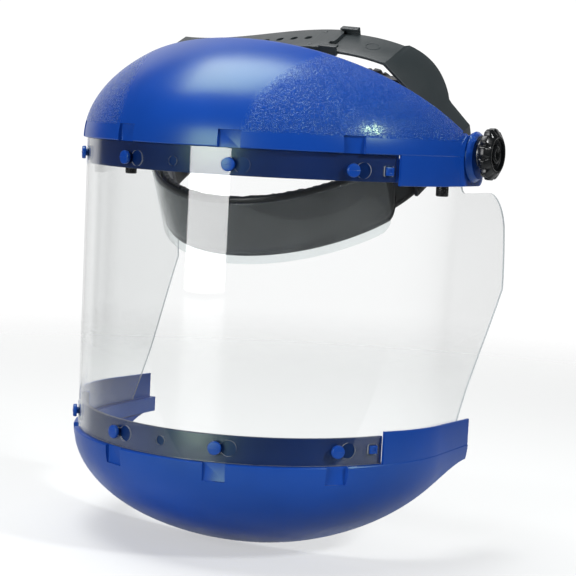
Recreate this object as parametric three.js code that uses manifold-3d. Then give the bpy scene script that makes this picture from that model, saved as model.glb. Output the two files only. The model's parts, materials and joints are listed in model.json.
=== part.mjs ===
// Protective face shield: a crown with a wrap-around window and a chin guard hangs on two side
// pivots from a ratchet headgear. Millimetres, +Z up, the wearer looks along -Y, +X is the
// wearer's left. The origin is the centre of the head opening, half way up the headband.

import * as THREE from 'three';
import { mergeVertices } from 'three/addons/utils/BufferGeometryUtils.js';
import Module from 'manifold-3d';

const wasm = await Module();
wasm.setup();

// ---------------------------------------------------------------- driving dimensions

const FIT_GAP = 0.3;                 // clearance left between pieces that touch

// Window: a flat 1 mm sheet that is bent round the face.
const WINDOW_HALF_WIDTH = 112.5;     // outer face at the upper stud row, square across the face
const WINDOW_DEPTH = 119.2;          // from the widest line to the front
const WINDOW_THICKNESS = 1.0;
const WINDOW_ROW_SPACING = 149;      // between the upper and the lower stud row
const WINDOW_EDGE_MARGIN = 8.4;      // from a stud row to the sheet's edge
const WINDOW_REAR = 66.4;            // rearmost point of the sheet behind the widest line
const WINDOW_FLARE = 3.5;            // the free rear edge springs out by this much
const NECK_NARROWING = 2.6;          // the lower row is this much narrower on each side
const NECK_FORWARD = 4.1;            // and its centre lies this much further forward

// Studs that hold the window, by their distance along the sheet from its middle.
const STUD_DISTANCES = [-97.6, -32.2, 32.2, 97.6];
const PEG_DISTANCE = 120;
const STUD_HEAD_DIAMETER = 7.3;
const STUD_HEAD_THICKNESS = 2.2;
const STUD_STEM_DIAMETER = 3.8;
const STUD_HEAD_LIFT = 0.9;          // from the window's outer face to the underside of the head
const PEG_SIZE = 4.6;
const KEYHOLE_DIAMETER = 8.6;
const KEYHOLE_SHIFT = 7.0;
const CENTRE_HOLE_DIAMETER = 5.2;

// Crown and chin guard shells.
const SHELL_WALL = 2.4;
const LIP_OFFSET = 2.4;              // lips and wings stand this far outside the window
const RAIL_WALL = 2.7;
const RAIL_HEIGHT_BELOW_STUDS = 5.8;
const LIP_ABOVE_STUDS = 8.7;
const WING_STEP = 126;               // distance along the sheet where the wings start
const CROWN_RISE = 69.4;             // from the lip to the (imaginary) top of the dome
const CROWN_REAR_TOP = 64.4;         // the rear edge's top lies this far in front of the widest line
const CROWN_REAR_LOW = 5.0;          // and its lower end lies this far behind it
const CROWN_REAR_LOW_HEIGHT = 21.0;
const CROWN_REAR_BOW = 0.82;
const SKIRT_HEIGHT = 9.3;            // plain band above the lip
const WING_DROP = 7.5;               // the wings reach this far below the upper stud row
const TAIL_REAR = 26.0;              // rear end of the wings behind the widest line
const TAIL_TOP = 20.0;
const BOWL_DROP = 63.5;
const BOWL_REAR_BOTTOM = 52.0;
const BOWL_REAR_BOW = 0.56;
const GUARD_REAR = 34.0;
const GUARD_WING_BOTTOM = 17.0;      // below the lower stud row
const GUARD_RAIL_ABOVE = 6.6;
const GUARD_RAIL_BELOW = 8.2;
const POCKET_WIDTH = 12.5;
const POCKET_DEPTH = 2.7;

// Side pivots.
const PIVOT_BEHIND = 12.0;           // behind the widest line of the window
const PIVOT_ABOVE = 11.0;            // above the upper stud row
const BOSS_DIAMETER = 28.5;
const PIVOT_ROOM_DIAMETER = 35.0;    // room inside the crown for the hanger's and strap's feet
const BOSS_HEIGHT = 3.6;
const BOLT_DIAMETER = 6.0;
const BOLT_CLEARANCE = 0.35;
const BOLT_HEAD_DIAMETER = 13.0;
const BOLT_HEAD_THICKNESS = 2.2;
const WASHER_THICKNESS = 1.2;
const FRICTION_WASHER_DIAMETER = 18.0;
const SPRING_WASHER_DIAMETER = 16.0;
const STOP_DISC_DIAMETER = 20.0;
const STOP_THICKNESS = 1.8;
const STOP_FORWARD = 24.0;           // stop peg's place, in the headgear's frame, from the pivot
const STOP_DOWN = 9.6;
const STOP_JOG = 6.0;                // the arm steps inwards, past the hanger's edge
const STOP_PEG_DIAMETER = 7.0;
const STOP_PEG_LENGTH = 12.0;
const KNOB_DIAMETER = 29.0;
const KNOB_THICKNESS = 8.6;
const KNOB_LOBES = 12;
const KNOB_HUB = 2.2;
const KNOB_RECESS_DIAMETER = 18.0;
const KNOB_RECESS_DEPTH = 2.2;
const INSERT_DIAMETER = 10.6;

// Headgear, in its own frame: level ring, tipped forward as a whole.
const HEADGEAR_TIP = 24;             // degrees, front edge down
const PIVOT_OVER_RING = 11.0;
const BAND_HALF_WIDTH = 79.0;        // outer face of the plastic headband
const BAND_FRONT_LENGTH = 90.0;      // from the widest line to the brow
const BAND_REAR_SQUARENESS = 2.6;    // the ring's rear half is fuller than an ellipse
const BAND_WALL = 1.8;
const BAND_HEIGHT = 26.0;
const BAND_WRAP = 112;               // degrees from the front to each end of the front band
const PAD_WALL = 3.5;
const PAD_HEIGHT = 36.0;
const PAD_WRAP = 72;
const COVER_WALL = 1.7;
const FILM_WALL = 0.8;
const FILM_BOTTOM = -22.0;
const FILM_TOP = 15.0;
const HANGER_WIDTH = 22.0;
const HANGER_WALL = 2.2;
const RIVET_DIAMETER = 6.0;
const RIVET_HEIGHT = -9.0;
const RIVET_STEM_DIAMETER = 3.2;
const RIVET_HEAD = 1.4;
const STRAP_WIDTH = 27.5;
const STRAP_FOOT_WIDTH = 21.0;
const STRAP_WALL = 1.6;
const STRAP_FOLD_HALF_WIDTH = 72.0;
const STRAP_FOLD_HEIGHT = 57.9;      // above the pivots
const STRAP_RISE = 4.9;              // of the strap's middle over its folds
const STRAP_SKEW = 7.5;              // the lapped side stands a little higher
const STRAP_FOOT_TOP = 12.0;
const STRAP_HOLE_DIAMETER = 4.6;
const STRAP_HOLE_PITCH = 9.5;
const STRAP_HOLES = 6;
const STRAP_ROW_X = 19.9;            // the first hole of the row; the peg sits in the last
const STRAP_TONGUE_X = 38.0;         // the upper half's end, on the wearer's left
const STRAP_PEG_DIAMETER = 3.8;
const STRAP_LAP = 8.0;               // the lower half reaches past its peg by this much
const STRAP_WEB = 12.0;              // the legs bow out to the rear by this much
const GUIDE_X = 39.5;                // edge guides that keep the two halves in line
const GUIDE_LENGTH = 11.0;
const GUIDE_WALL = 1.8;
const NAPE_WALL = 1.8;
const NAPE_HEIGHT = 20.0;
const NAPE_LAP_START = 15.0;         // where the nape straps start, behind the pivots

// Ratchet at the back of the head.
const RACK_Y = 93.0;                 // front faces of the racks, behind the widest line
const HOUSING_LENGTH = 66.0;
const HOUSING_HEIGHT = 32.0;
const HOUSING_WALL = 2.0;
const RACK_WALL = 2.0;
const RACK_CLEARANCE = 0.4;
const PINION_TEETH = 10;
const PINION_PITCH_RADIUS = 5.0;
const TOOTH_HEIGHT = 1.3;
const TOOTH_TOP_SHARE = 0.16;        // tooth widths as shares of the pitch
const TOOTH_ROOT_SHARE = 0.36;
const RACK_FINGER_RISE = 0.45;       // the rack's back edge stands this much over the nape strap
const RACK_OVERRUN = 20.0;           // how far a rack reaches past the pinion
const DIAL_DIAMETER = 34.0;
const DIAL_THICKNESS = 11.0;
const DIAL_LOBES = 14;
const DIAL_HOLLOW_DIAMETER = 26.0;
const DIAL_WEB = 7.5;                // solid part behind the dial's face
const PINION_SHAFT_DIAMETER = 6.4;
const DETENT_DIAMETER = 23.6;
const DETENT_BORE = 16.0;
const DETENT_THICKNESS = 1.2;
const SCREW_DIAMETER = 2.6;
const SCREW_HEAD_DIAMETER = 8.0;
const NAPE_PAD_WALL = 8.0;
const NAPE_PAD_LENGTH = 62.0;
const NAPE_PAD_HEIGHT = 30.0;

// ---------------------------------------------------------------- derived places

const WINDOW_TOP = WINDOW_EDGE_MARGIN;
const WINDOW_BOTTOM = -WINDOW_ROW_SPACING - GUARD_RAIL_BELOW + FIT_GAP;
const RAIL_OFFSET = -WINDOW_THICKNESS - FIT_GAP;
const WING_INNER_OFFSET = FIT_GAP;
const TIP = THREE.MathUtils.degToRad(HEADGEAR_TIP);
const PIVOT_Y = -PIVOT_OVER_RING * Math.sin(TIP);
const PIVOT_Z = PIVOT_OVER_RING * Math.cos(TIP);
const SHIELD_Y = PIVOT_Y - PIVOT_BEHIND;
const SHIELD_Z = PIVOT_Z - PIVOT_ABOVE;
const WING_OUTER_X = WINDOW_HALF_WIDTH + LIP_OFFSET;
const WING_INNER_X = WINDOW_HALF_WIDTH + WING_INNER_OFFSET;
const BOSS_FACE_X = WING_OUTER_X + BOSS_HEIGHT;
const OUTER_WASHER_X = BOSS_FACE_X + FIT_GAP;
const KNOB_BACK_X = OUTER_WASHER_X + WASHER_THICKNESS + FIT_GAP;
const INNER_WASHER_X = WING_INNER_X - FIT_GAP - WASHER_THICKNESS;
const STOP_X = INNER_WASHER_X - FIT_GAP - STOP_THICKNESS;
const STRAP_FOOT_X = STOP_X - FIT_GAP - STRAP_WALL;
const HANGER_X = STRAP_FOOT_X - FIT_GAP - HANGER_WALL;
const BOLT_HEAD_X = HANGER_X - FIT_GAP - BOLT_HEAD_THICKNESS;
const BOLT_HOLE_DIAMETER = BOLT_DIAMETER + 2 * BOLT_CLEARANCE;
const PAD_OUTER_OFFSET = -BAND_WALL - FIT_GAP;
const COVER_INNER_OFFSET = FIT_GAP;
const FILM_INNER_OFFSET = COVER_INNER_OFFSET + COVER_WALL + FIT_GAP;
const TOOTH_PITCH = 2 * Math.PI * PINION_PITCH_RADIUS / PINION_TEETH;
const RACK_END_X = HOUSING_LENGTH / 2 + 2;
const LOWER_LIFT = -STRAP_WALL - FIT_GAP;
const HOUSING_BACK = RACK_Y + RACK_WALL + RACK_CLEARANCE;
const DIAL_FRONT = HOUSING_BACK + HOUSING_WALL + DETENT_THICKNESS + 0.7;
const RACK_BASE = PINION_PITCH_RADIUS + TOOTH_HEIGHT / 2 + RACK_CLEARANCE / 2;
const RACK_BACK = NAPE_HEIGHT / 2 + RACK_FINGER_RISE;
const NAPE_OFFSET = FIT_GAP + 0.1;
const BAND_REAR_LENGTH = (RACK_Y - NAPE_OFFSET)
  / (1 - (RACK_END_X / BAND_HALF_WIDTH) ** BAND_REAR_SQUARENESS) ** (1 / BAND_REAR_SQUARENESS);

// ---------------------------------------------------------------- materials

function plastic(hex, roughness, extra = {}) {
  return new THREE.MeshStandardMaterial({ color: hex, roughness, metalness: 0, ...extra });
}
const BLUE = plastic(0x1a40be, 0.35);
const CLEAR = plastic(0xe8f0f2, 0.05, { transparent: true, opacity: 0.2 });
const BLACK = plastic(0x2a3033, 0.45);
const STRAP_GREY = plastic(0x3a4245, 0.4);
const VINYL = plastic(0x394347, 0.5);
const FOAM = plastic(0x22282a, 0.9);
const STEEL = new THREE.MeshStandardMaterial({ color: 0x8b8f92, roughness: 0.35, metalness: 1 });

// ---------------------------------------------------------------- solid helpers

function toSolid(geometry) {
  const bare = geometry.clone();
  bare.deleteAttribute('normal');
  bare.deleteAttribute('uv');
  const merged = mergeVertices(bare, 1e-4);
  return new wasm.Manifold(new wasm.Mesh({
    numProp: 3,
    vertProperties: Float32Array.from(merged.attributes.position.array),
    triVerts: Uint32Array.from(merged.index.array),
  }));
}

function toGeometry(solid) {
  const mesh = solid.getMesh();
  const positions = new Float32Array(mesh.numVert * 3);
  for (let i = 0; i < mesh.numVert; i++) {
    for (let k = 0; k < 3; k++) positions[3 * i + k] = mesh.vertProperties[mesh.numProp * i + k];
  }
  const geometry = new THREE.BufferGeometry();
  geometry.setAttribute('position', new THREE.BufferAttribute(positions, 3));
  geometry.setIndex(new THREE.BufferAttribute(Uint32Array.from(mesh.triVerts), 1));
  return geometry;
}

function join(...geometries) {
  return toGeometry(geometries.map(toSolid).reduce((a, b) => a.add(b)));
}

function cut(geometry, ...tools) {
  return toGeometry(tools.map(toSolid).reduce((a, b) => a.subtract(b), toSolid(geometry)));
}

// A closed skin between two equal grids of points, outer[column][row] and inner[column][row].
function skin(outer, inner) {
  const columns = outer.length;
  const rows = outer[0].length;
  const positions = [];
  const index = [];
  for (const side of [outer, inner]) {
    for (const column of side) for (const p of column) positions.push(p.x, p.y, p.z);
  }
  const at = (layer, i, j) => layer * columns * rows + i * rows + j;
  const quad = (a, b, c, d) => index.push(a, b, c, a, c, d);
  for (let i = 0; i < columns - 1; i++) {
    for (let j = 0; j < rows - 1; j++) {
      quad(at(0, i, j), at(0, i + 1, j), at(0, i + 1, j + 1), at(0, i, j + 1));
      quad(at(1, i, j), at(1, i, j + 1), at(1, i + 1, j + 1), at(1, i + 1, j));
    }
    quad(at(0, i, 0), at(1, i, 0), at(1, i + 1, 0), at(0, i + 1, 0));
    quad(at(0, i, rows - 1), at(0, i + 1, rows - 1), at(1, i + 1, rows - 1), at(1, i, rows - 1));
  }
  for (let j = 0; j < rows - 1; j++) {
    const last = columns - 1;
    quad(at(0, 0, j), at(0, 0, j + 1), at(1, 0, j + 1), at(1, 0, j));
    quad(at(0, last, j), at(1, last, j), at(1, last, j + 1), at(0, last, j + 1));
  }
  const geometry = new THREE.BufferGeometry();
  geometry.setAttribute('position', new THREE.Float32BufferAttribute(positions, 3));
  geometry.setIndex(index);
  return geometry;
}

function box(x, y, z, cx = 0, cy = 0, cz = 0) {
  return new THREE.BoxGeometry(x, y, z).translate(cx, cy, cz);
}

// A cylinder along X from x0 to x1, about the line y = cy, z = cz.
function rodX(diameter, x0, x1, cy, cz, sides = 16, endDiameter = diameter) {
  const [lowEnd, highEnd] = x1 > x0 ? [diameter, endDiameter] : [endDiameter, diameter];
  return new THREE.CylinderGeometry(highEnd / 2, lowEnd / 2, Math.abs(x1 - x0), sides)
    .rotateZ(-Math.PI / 2)
    .translate((x0 + x1) / 2, cy, cz);
}

// A cylinder about the line of the pivots, in the headgear's frame.
function pivotRod(diameter, x0, x1, sides, endDiameter = diameter) {
  return rodX(diameter, x0, x1, 0, PIVOT_OVER_RING, sides, endDiameter);
}

// A cylinder along Y from y0 to y1.
function rodY(diameter, y0, y1, cx, cz, sides = 16) {
  return new THREE.CylinderGeometry(diameter / 2, diameter / 2, Math.abs(y1 - y0), sides)
    .translate(0, (y0 + y1) / 2, 0)
    .translate(cx, 0, cz);
}

// A flat outline in the Y-Z plane, pushed along X from x0 to x1.
function plateX(points, x0, x1) {
  const shape = new THREE.Shape(points.map(([y, z]) => new THREE.Vector2(y, z)));
  const geometry = new THREE.ExtrudeGeometry(shape, { depth: Math.abs(x1 - x0), bevelEnabled: false });
  return geometry
    .applyMatrix4(new THREE.Matrix4().set(0, 0, 1, 0, 1, 0, 0, 0, 0, 1, 0, 0, 0, 0, 0, 1))
    .translate(Math.min(x0, x1), 0, 0);
}

// A flat outline in the X-Z plane, pushed along Y from y0 to y1.
function plateY(points, y0, y1) {
  const shape = new THREE.Shape(points.map(([x, z]) => new THREE.Vector2(x, z)));
  const geometry = new THREE.ExtrudeGeometry(shape, { depth: y1 - y0, bevelEnabled: false });
  return geometry
    .applyMatrix4(new THREE.Matrix4().set(1, 0, 0, 0, 0, 0, -1, 0, 0, 1, 0, 0, 0, 0, 0, 1))
    .translate(0, y1, 0);
}

function arcPoints(cy, cz, radius, fromDegrees, toDegrees, steps) {
  return Array.from({ length: steps + 1 }, (_, i) => {
    const angle = THREE.MathUtils.degToRad(fromDegrees + (toDegrees - fromDegrees) * i / steps);
    return [cy + radius * Math.cos(angle), cz + radius * Math.sin(angle)];
  });
}

// ---------------------------------------------------------------- plan of the window

// Half an ellipse in front of a centre line, then straight sides. Places on it are named by
// their distance along the curve from the middle of the front.
class Plan {
  constructor(halfWidth, depth, centreY) {
    Object.assign(this, { halfWidth, depth, centreY });
    const steps = 240;
    this.angles = [0];
    this.lengths = [0];
    for (let i = 1; i <= steps; i++) {
      const [a, b] = [(i - 1) / steps * Math.PI / 2, i / steps * Math.PI / 2];
      const dx = halfWidth * (Math.sin(b) - Math.sin(a));
      const dy = depth * (Math.cos(a) - Math.cos(b));
      this.angles.push(b);
      this.lengths.push(this.lengths[i - 1] + Math.hypot(dx, dy));
    }
    this.quarter = this.lengths[steps];
  }

  // Point and outward direction at a distance along the curve, pushed out by an offset.
  at(distance, offset = 0) {
    const side = Math.sign(distance) || 1;
    const d = Math.abs(distance);
    if (d >= this.quarter) {
      return { x: side * (this.halfWidth + offset), y: this.centreY + d - this.quarter, nx: side, ny: 0 };
    }
    const k = this.lengths.findIndex((length) => length > d);
    const share = (d - this.lengths[k - 1]) / (this.lengths[k] - this.lengths[k - 1]);
    const angle = this.angles[k - 1] + share * (this.angles[k] - this.angles[k - 1]);
    const normal = new THREE.Vector2(Math.sin(angle) / this.halfWidth, -Math.cos(angle) / this.depth);
    normal.normalize();
    return {
      x: side * (this.halfWidth * Math.sin(angle) + offset * normal.x),
      y: this.centreY - this.depth * Math.cos(angle) + offset * normal.y,
      nx: side * normal.x,
      ny: normal.y,
    };
  }
}

const upperPlan = new Plan(WINDOW_HALF_WIDTH, WINDOW_DEPTH, 0);
const lowerPlan = new Plan(
  WINDOW_HALF_WIDTH - NECK_NARROWING,
  WINDOW_DEPTH - NECK_FORWARD,
  -NECK_FORWARD,
);

function spread(from, to, steps) {
  return Array.from({ length: steps + 1 }, (_, i) => from + (to - from) * i / steps);
}

// A curved strip that follows a plan between two offsets and two heights.
function strip(plan, from, to, innerOffset, outerOffset, bottom, top, steps = 24) {
  const column = (d, offset) => [bottom, top].map((z) => {
    const p = plan.at(d, offset);
    return new THREE.Vector3(p.x, p.y, z);
  });
  const distances = spread(from, to, steps);
  return skin(distances.map((d) => column(d, outerOffset)), distances.map((d) => column(d, innerOffset)));
}

// Stand a tool that was made looking along +X on a plan, at a distance and a height.
function placeOnPlan(geometry, plan, distance, height) {
  const p = plan.at(distance);
  return geometry.clone().rotateZ(Math.atan2(p.ny, p.nx)).translate(p.x, p.y, height);
}

// ---------------------------------------------------------------- window

function windowRow(height) {
  const upperEnd = -WING_DROP - 0.5;
  const lowerEnd = -WINDOW_ROW_SPACING + GUARD_RAIL_ABOVE + 1.4;
  const share = THREE.MathUtils.clamp((upperEnd - height) / (upperEnd - lowerEnd), 0, 1);
  return { share, flare: WINDOW_FLARE * Math.sin(Math.PI * Math.min(1, share * 1.15)) ** 0.8 };
}

function windowPoint(distance, height, offset) {
  const { share, flare } = windowRow(height);
  const [a, b] = [upperPlan.at(distance, offset), lowerPlan.at(distance, offset)];
  const x = a.x + share * (b.x - a.x);
  const y = a.y + share * (b.y - a.y);
  const behind = Math.max(0, y) / WINDOW_REAR;
  return new THREE.Vector3(x + Math.sign(x) * Math.max(0, flare) * behind, y, height);
}

function windowRearWaste() {
  const rearTop = -WING_DROP - 4;
  const corner = 24;
  const notch = 6;
  const notchY = PIVOT_BEHIND - BOSS_DIAMETER / 2 + 4.7;
  const low = -WINDOW_ROW_SPACING;
  return plateX([
    [notchY, 30],
    ...arcPoints(notchY + notch, rearTop + notch, notch, 180, 270, 4),
    ...arcPoints(WINDOW_REAR - 2 - corner, rearTop - corner, corner, 90, 0, 6),
    [WINDOW_REAR, low + 80.4],
    [22, low + 7],
    [13, low - 8],
    [13, low - 30],
    [WINDOW_REAR + 60, low - 30],
    [WINDOW_REAR + 60, 30],
  ], -200, 200);
}

function buildWindow() {
  const reach = upperPlan.quarter + WINDOW_REAR + 6;
  const rear = reach - upperPlan.quarter + 10;
  const distances = [
    ...spread(-reach, -reach + rear, 4),
    ...spread(-upperPlan.quarter + 6, upperPlan.quarter - 6, 40),
    ...spread(reach - rear, reach, 4),
  ];
  const heights = [
    WINDOW_BOTTOM,
    ...spread(-WINDOW_ROW_SPACING + WING_DROP + 0.5, -WING_DROP - 0.5, 10),
    WINDOW_TOP,
  ];
  const sheet = (offset) => distances.map((d) => heights.map((z) => windowPoint(d, z, offset)));
  const tools = [windowRearWaste()];
  for (const [plan, height] of [[upperPlan, 0], [lowerPlan, -WINDOW_ROW_SPACING]]) {
    const place = (tool, d) => tools.push(placeOnPlan(tool, plan, d, height));
    for (const d of STUD_DISTANCES) {
      place(rodX(KEYHOLE_DIAMETER, -4, 4, 0, 0, 12), d + KEYHOLE_SHIFT);
      const slot = STUD_STEM_DIAMETER + 2 * FIT_GAP;
      place(box(8, KEYHOLE_SHIFT + slot / 2, slot, 0, KEYHOLE_SHIFT / 2 - slot / 4, 0), d);
    }
    place(rodX(CENTRE_HOLE_DIAMETER, -4, 4, 0, 0, 10), 0);
    const square = PEG_SIZE + 2 * FIT_GAP;
    for (const side of [-1, 1]) place(box(8, square, square), side * PEG_DISTANCE);
  }
  return cut(skin(sheet(0), sheet(-WINDOW_THICKNESS)), ...tools);
}

// ---------------------------------------------------------------- studs, pegs and pockets

function studs(plan, height) {
  const parts = [];
  const under = STUD_HEAD_LIFT;
  for (const d of STUD_DISTANCES) {
    parts.push(placeOnPlan(rodX(STUD_STEM_DIAMETER, RAIL_OFFSET - 1, under + 1, 0, 0, 8), plan, d, height));
    const top = under + STUD_HEAD_THICKNESS;
    const head = rodX(STUD_HEAD_DIAMETER, under, top, 0, 0, 12, STUD_HEAD_DIAMETER - 1);
    parts.push(placeOnPlan(head, plan, d, height));
  }
  const depth = 1 - RAIL_OFFSET + FIT_GAP;
  for (const side of [-1, 1]) {
    const peg = box(depth, PEG_SIZE, PEG_SIZE, RAIL_OFFSET - 1 + depth / 2, 0, 0);
    parts.push(placeOnPlan(peg, plan, side * PEG_DISTANCE, height));
  }
  return parts;
}

function pockets(plan, low, high) {
  const outer = LIP_OFFSET - POCKET_DEPTH;
  return STUD_DISTANCES.map((d) => {
    const tool = box(12, POCKET_WIDTH, high - low, outer + 6, 0, 0);
    return placeOnPlan(tool, plan, d, (low + high) / 2);
  });
}

// ---------------------------------------------------------------- crown and chin guard

// One column of a dome that rises (or hangs, with direction -1) from a plan's lip and ends at
// a rear edge seen from the side as rearLimit(height).
function domeColumn(plan, d, inset, base, rise, direction, rearLimit, steps) {
  const p = plan.at(d, LIP_OFFSET - inset);
  const height = (angle) => base + direction * (rise - inset) * Math.sin(angle);
  const depth = (angle) => {
    const forward = Math.min(0, p.y - plan.centreY);
    return Math.max(0, p.y - plan.centreY) + plan.centreY + forward * Math.cos(angle);
  };
  let [low, high] = [0, Math.PI / 2];
  for (let i = 0; i < 40; i++) {
    const middle = (low + high) / 2;
    if (depth(middle) > rearLimit(height(middle))) high = middle;
    else low = middle;
  }
  return spread(0, low, steps).map((angle) => new THREE.Vector3(
    p.x * Math.cos(angle),
    depth(angle),
    height(angle),
  ));
}

function rearEdge(lowY, lowZ, topY, topZ, bow) {
  return (z) => lowY + (topY - lowY) * Math.max(0, (z - lowZ) / (topZ - lowZ)) ** bow;
}

function shellColumns(end) {
  const wing = spread(WING_STEP + 0.2, end, 4);
  const front = spread(-WING_STEP + 0.2, WING_STEP - 0.2, 20);
  return [...wing.map((d) => -d).reverse(), ...front, ...wing];
}

function buildCrown() {
  const lip = LIP_ABOVE_STUDS;
  const topShare = Math.sqrt(1 - (CROWN_REAR_TOP / (WINDOW_DEPTH + LIP_OFFSET)) ** 2);
  const limit = rearEdge(
    CROWN_REAR_LOW, CROWN_REAR_LOW_HEIGHT, -CROWN_REAR_TOP, lip + CROWN_RISE * topShare, CROWN_REAR_BOW,
  );
  const distances = shellColumns(upperPlan.quarter + CROWN_REAR_LOW - 0.4);
  const skirtInset = LIP_OFFSET - RAIL_OFFSET + RAIL_WALL;
  const column = (d, inset, lowInset) => {
    const bottom = Math.abs(d) > WING_STEP ? -WING_DROP : -RAIL_HEIGHT_BELOW_STUDS;
    const p = upperPlan.at(d, LIP_OFFSET - lowInset);
    const dome = domeColumn(upperPlan, d, inset, lip, CROWN_RISE, 1, limit, 8);
    const skirt = [bottom, lip + (inset ? SKIRT_HEIGHT * 0.4 : 0)];
    return [
      ...skirt.map((z) => new THREE.Vector3(p.x, p.y, z)),
      ...dome.slice(1),
    ];
  };
  const shell = skin(
    distances.map((d) => column(d, 0, 0)),
    distances.map((d) => column(d, SHELL_WALL, skirtInset)),
  );
  const end = upperPlan.quarter + CROWN_REAR_LOW + 20;
  const recess = strip(upperPlan, -WING_STEP, WING_STEP, RAIL_OFFSET, 14, -20, lip);
  const slots = [-1, 1].map((side) => {
    const [from, to] = side > 0 ? [WING_STEP - 2, end] : [-end, -WING_STEP + 2];
    return strip(upperPlan, from, to, -16, WING_INNER_OFFSET, -20, lip, 10);
  });
  const pivotHoles = [];
  const pivotRooms = [];
  const additions = [];
  for (const side of [-1, 1]) {
    const [inner, outer] = [side * WING_INNER_X, side * WING_OUTER_X];
    const corner = 5;
    additions.push(plateX([
      ...arcPoints(TAIL_REAR - corner, corner - WING_DROP, corner, -90, 0, 4),
      ...arcPoints(TAIL_REAR - corner, TAIL_TOP - corner, corner, 0, 90, 4),
      [CROWN_REAR_LOW - 4, TAIL_TOP + 1],
      [-6, TAIL_TOP - 4],
      [-6, -WING_DROP],
    ], inner, outer));
    const [root, face] = [outer - side, side * BOSS_FACE_X];
    additions.push(rodX(BOSS_DIAMETER, root, face, PIVOT_BEHIND, PIVOT_ABOVE - 2, 24, BOSS_DIAMETER - 4));
    pivotRooms.push(rodX(PIVOT_ROOM_DIAMETER, inner - side * 12, inner, PIVOT_BEHIND, PIVOT_ABOVE, 28));
    pivotHoles.push(rodX(BOLT_HOLE_DIAMETER, inner - side * 3, side * (BOSS_FACE_X + 3), PIVOT_BEHIND,
      PIVOT_ABOVE, 16));
  }
  const notches = pockets(upperPlan, lip - 1, lip + SKIRT_HEIGHT);
  const trimmed = cut(shell, recess, ...slots, ...pivotRooms, ...notches);
  return cut(join(trimmed, ...additions, ...studs(upperPlan, 0)), ...pivotHoles);
}

function buildChinGuard() {
  const row = -WINDOW_ROW_SPACING;
  const ledge = row - GUARD_RAIL_BELOW;
  const wingBottom = row - GUARD_WING_BOTTOM;
  const reach = lowerPlan.depth + LIP_OFFSET;
  const bottomShare = Math.sqrt(1 - ((BOWL_REAR_BOTTOM - NECK_FORWARD) / reach) ** 2);
  const limit = rearEdge(
    GUARD_REAR, wingBottom, -BOWL_REAR_BOTTOM, ledge - BOWL_DROP * bottomShare, BOWL_REAR_BOW,
  );
  const distances = shellColumns(lowerPlan.quarter + GUARD_REAR + NECK_FORWARD);
  const railInset = LIP_OFFSET - RAIL_OFFSET + RAIL_WALL;
  const column = (d, inset, highInset) => {
    const p = lowerPlan.at(d, LIP_OFFSET - highInset);
    const beyond = THREE.MathUtils.clamp((Math.abs(d) - WING_STEP) / 90, 0, 1);
    const top = Math.abs(d) > WING_STEP ? row + 9.6 - 3 * beyond : row + GUARD_RAIL_ABOVE;
    const bowl = domeColumn(lowerPlan, d, inset, ledge, BOWL_DROP, -1, limit, 8);
    const rim = [top, ledge - (inset ? 3 : 0)];
    return [...rim.map((z) => new THREE.Vector3(p.x, p.y, z)), ...bowl.slice(1)].reverse();
  };
  const shell = skin(
    distances.map((d) => column(d, 0, 0)),
    distances.map((d) => column(d, SHELL_WALL, railInset)),
  );
  const end = lowerPlan.quarter + GUARD_REAR + 30;
  const recess = strip(lowerPlan, -WING_STEP, WING_STEP, RAIL_OFFSET, 14, ledge, row + 30);
  const slots = [-1, 1].map((side) => {
    const [from, to] = side > 0 ? [WING_STEP - 2, end] : [-end, -WING_STEP + 2];
    return strip(lowerPlan, from, to, -16, WING_INNER_OFFSET, ledge, row + 30, 10);
  });
  const trimmed = cut(shell, recess, ...slots, ...pockets(lowerPlan, ledge - 10, ledge + 1));
  return join(trimmed, ...studs(lowerPlan, row));
}

// ---------------------------------------------------------------- pivot hardware

// Places here are in the headgear's frame: the pivots lie on y = 0, z = PIVOT_OVER_RING.
function pivotBolt(side) {
  const x = (value) => side * value;
  const shank = pivotRod(BOLT_DIAMETER, x(BOLT_HEAD_X + 1), x(KNOB_BACK_X + KNOB_THICKNESS - 3.4), 14);
  const head = pivotRod(BOLT_HEAD_DIAMETER, x(BOLT_HEAD_X), x(BOLT_HEAD_X + BOLT_HEAD_THICKNESS), 18);
  return join(shank, head);
}

function washer(side, start, diameter) {
  const end = start + WASHER_THICKNESS;
  const disc = pivotRod(diameter, side * start, side * end, 20);
  const hole = pivotRod(BOLT_HOLE_DIAMETER, side * (start - 1), side * (end + 1), 14);
  return cut(disc, hole);
}

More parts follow.
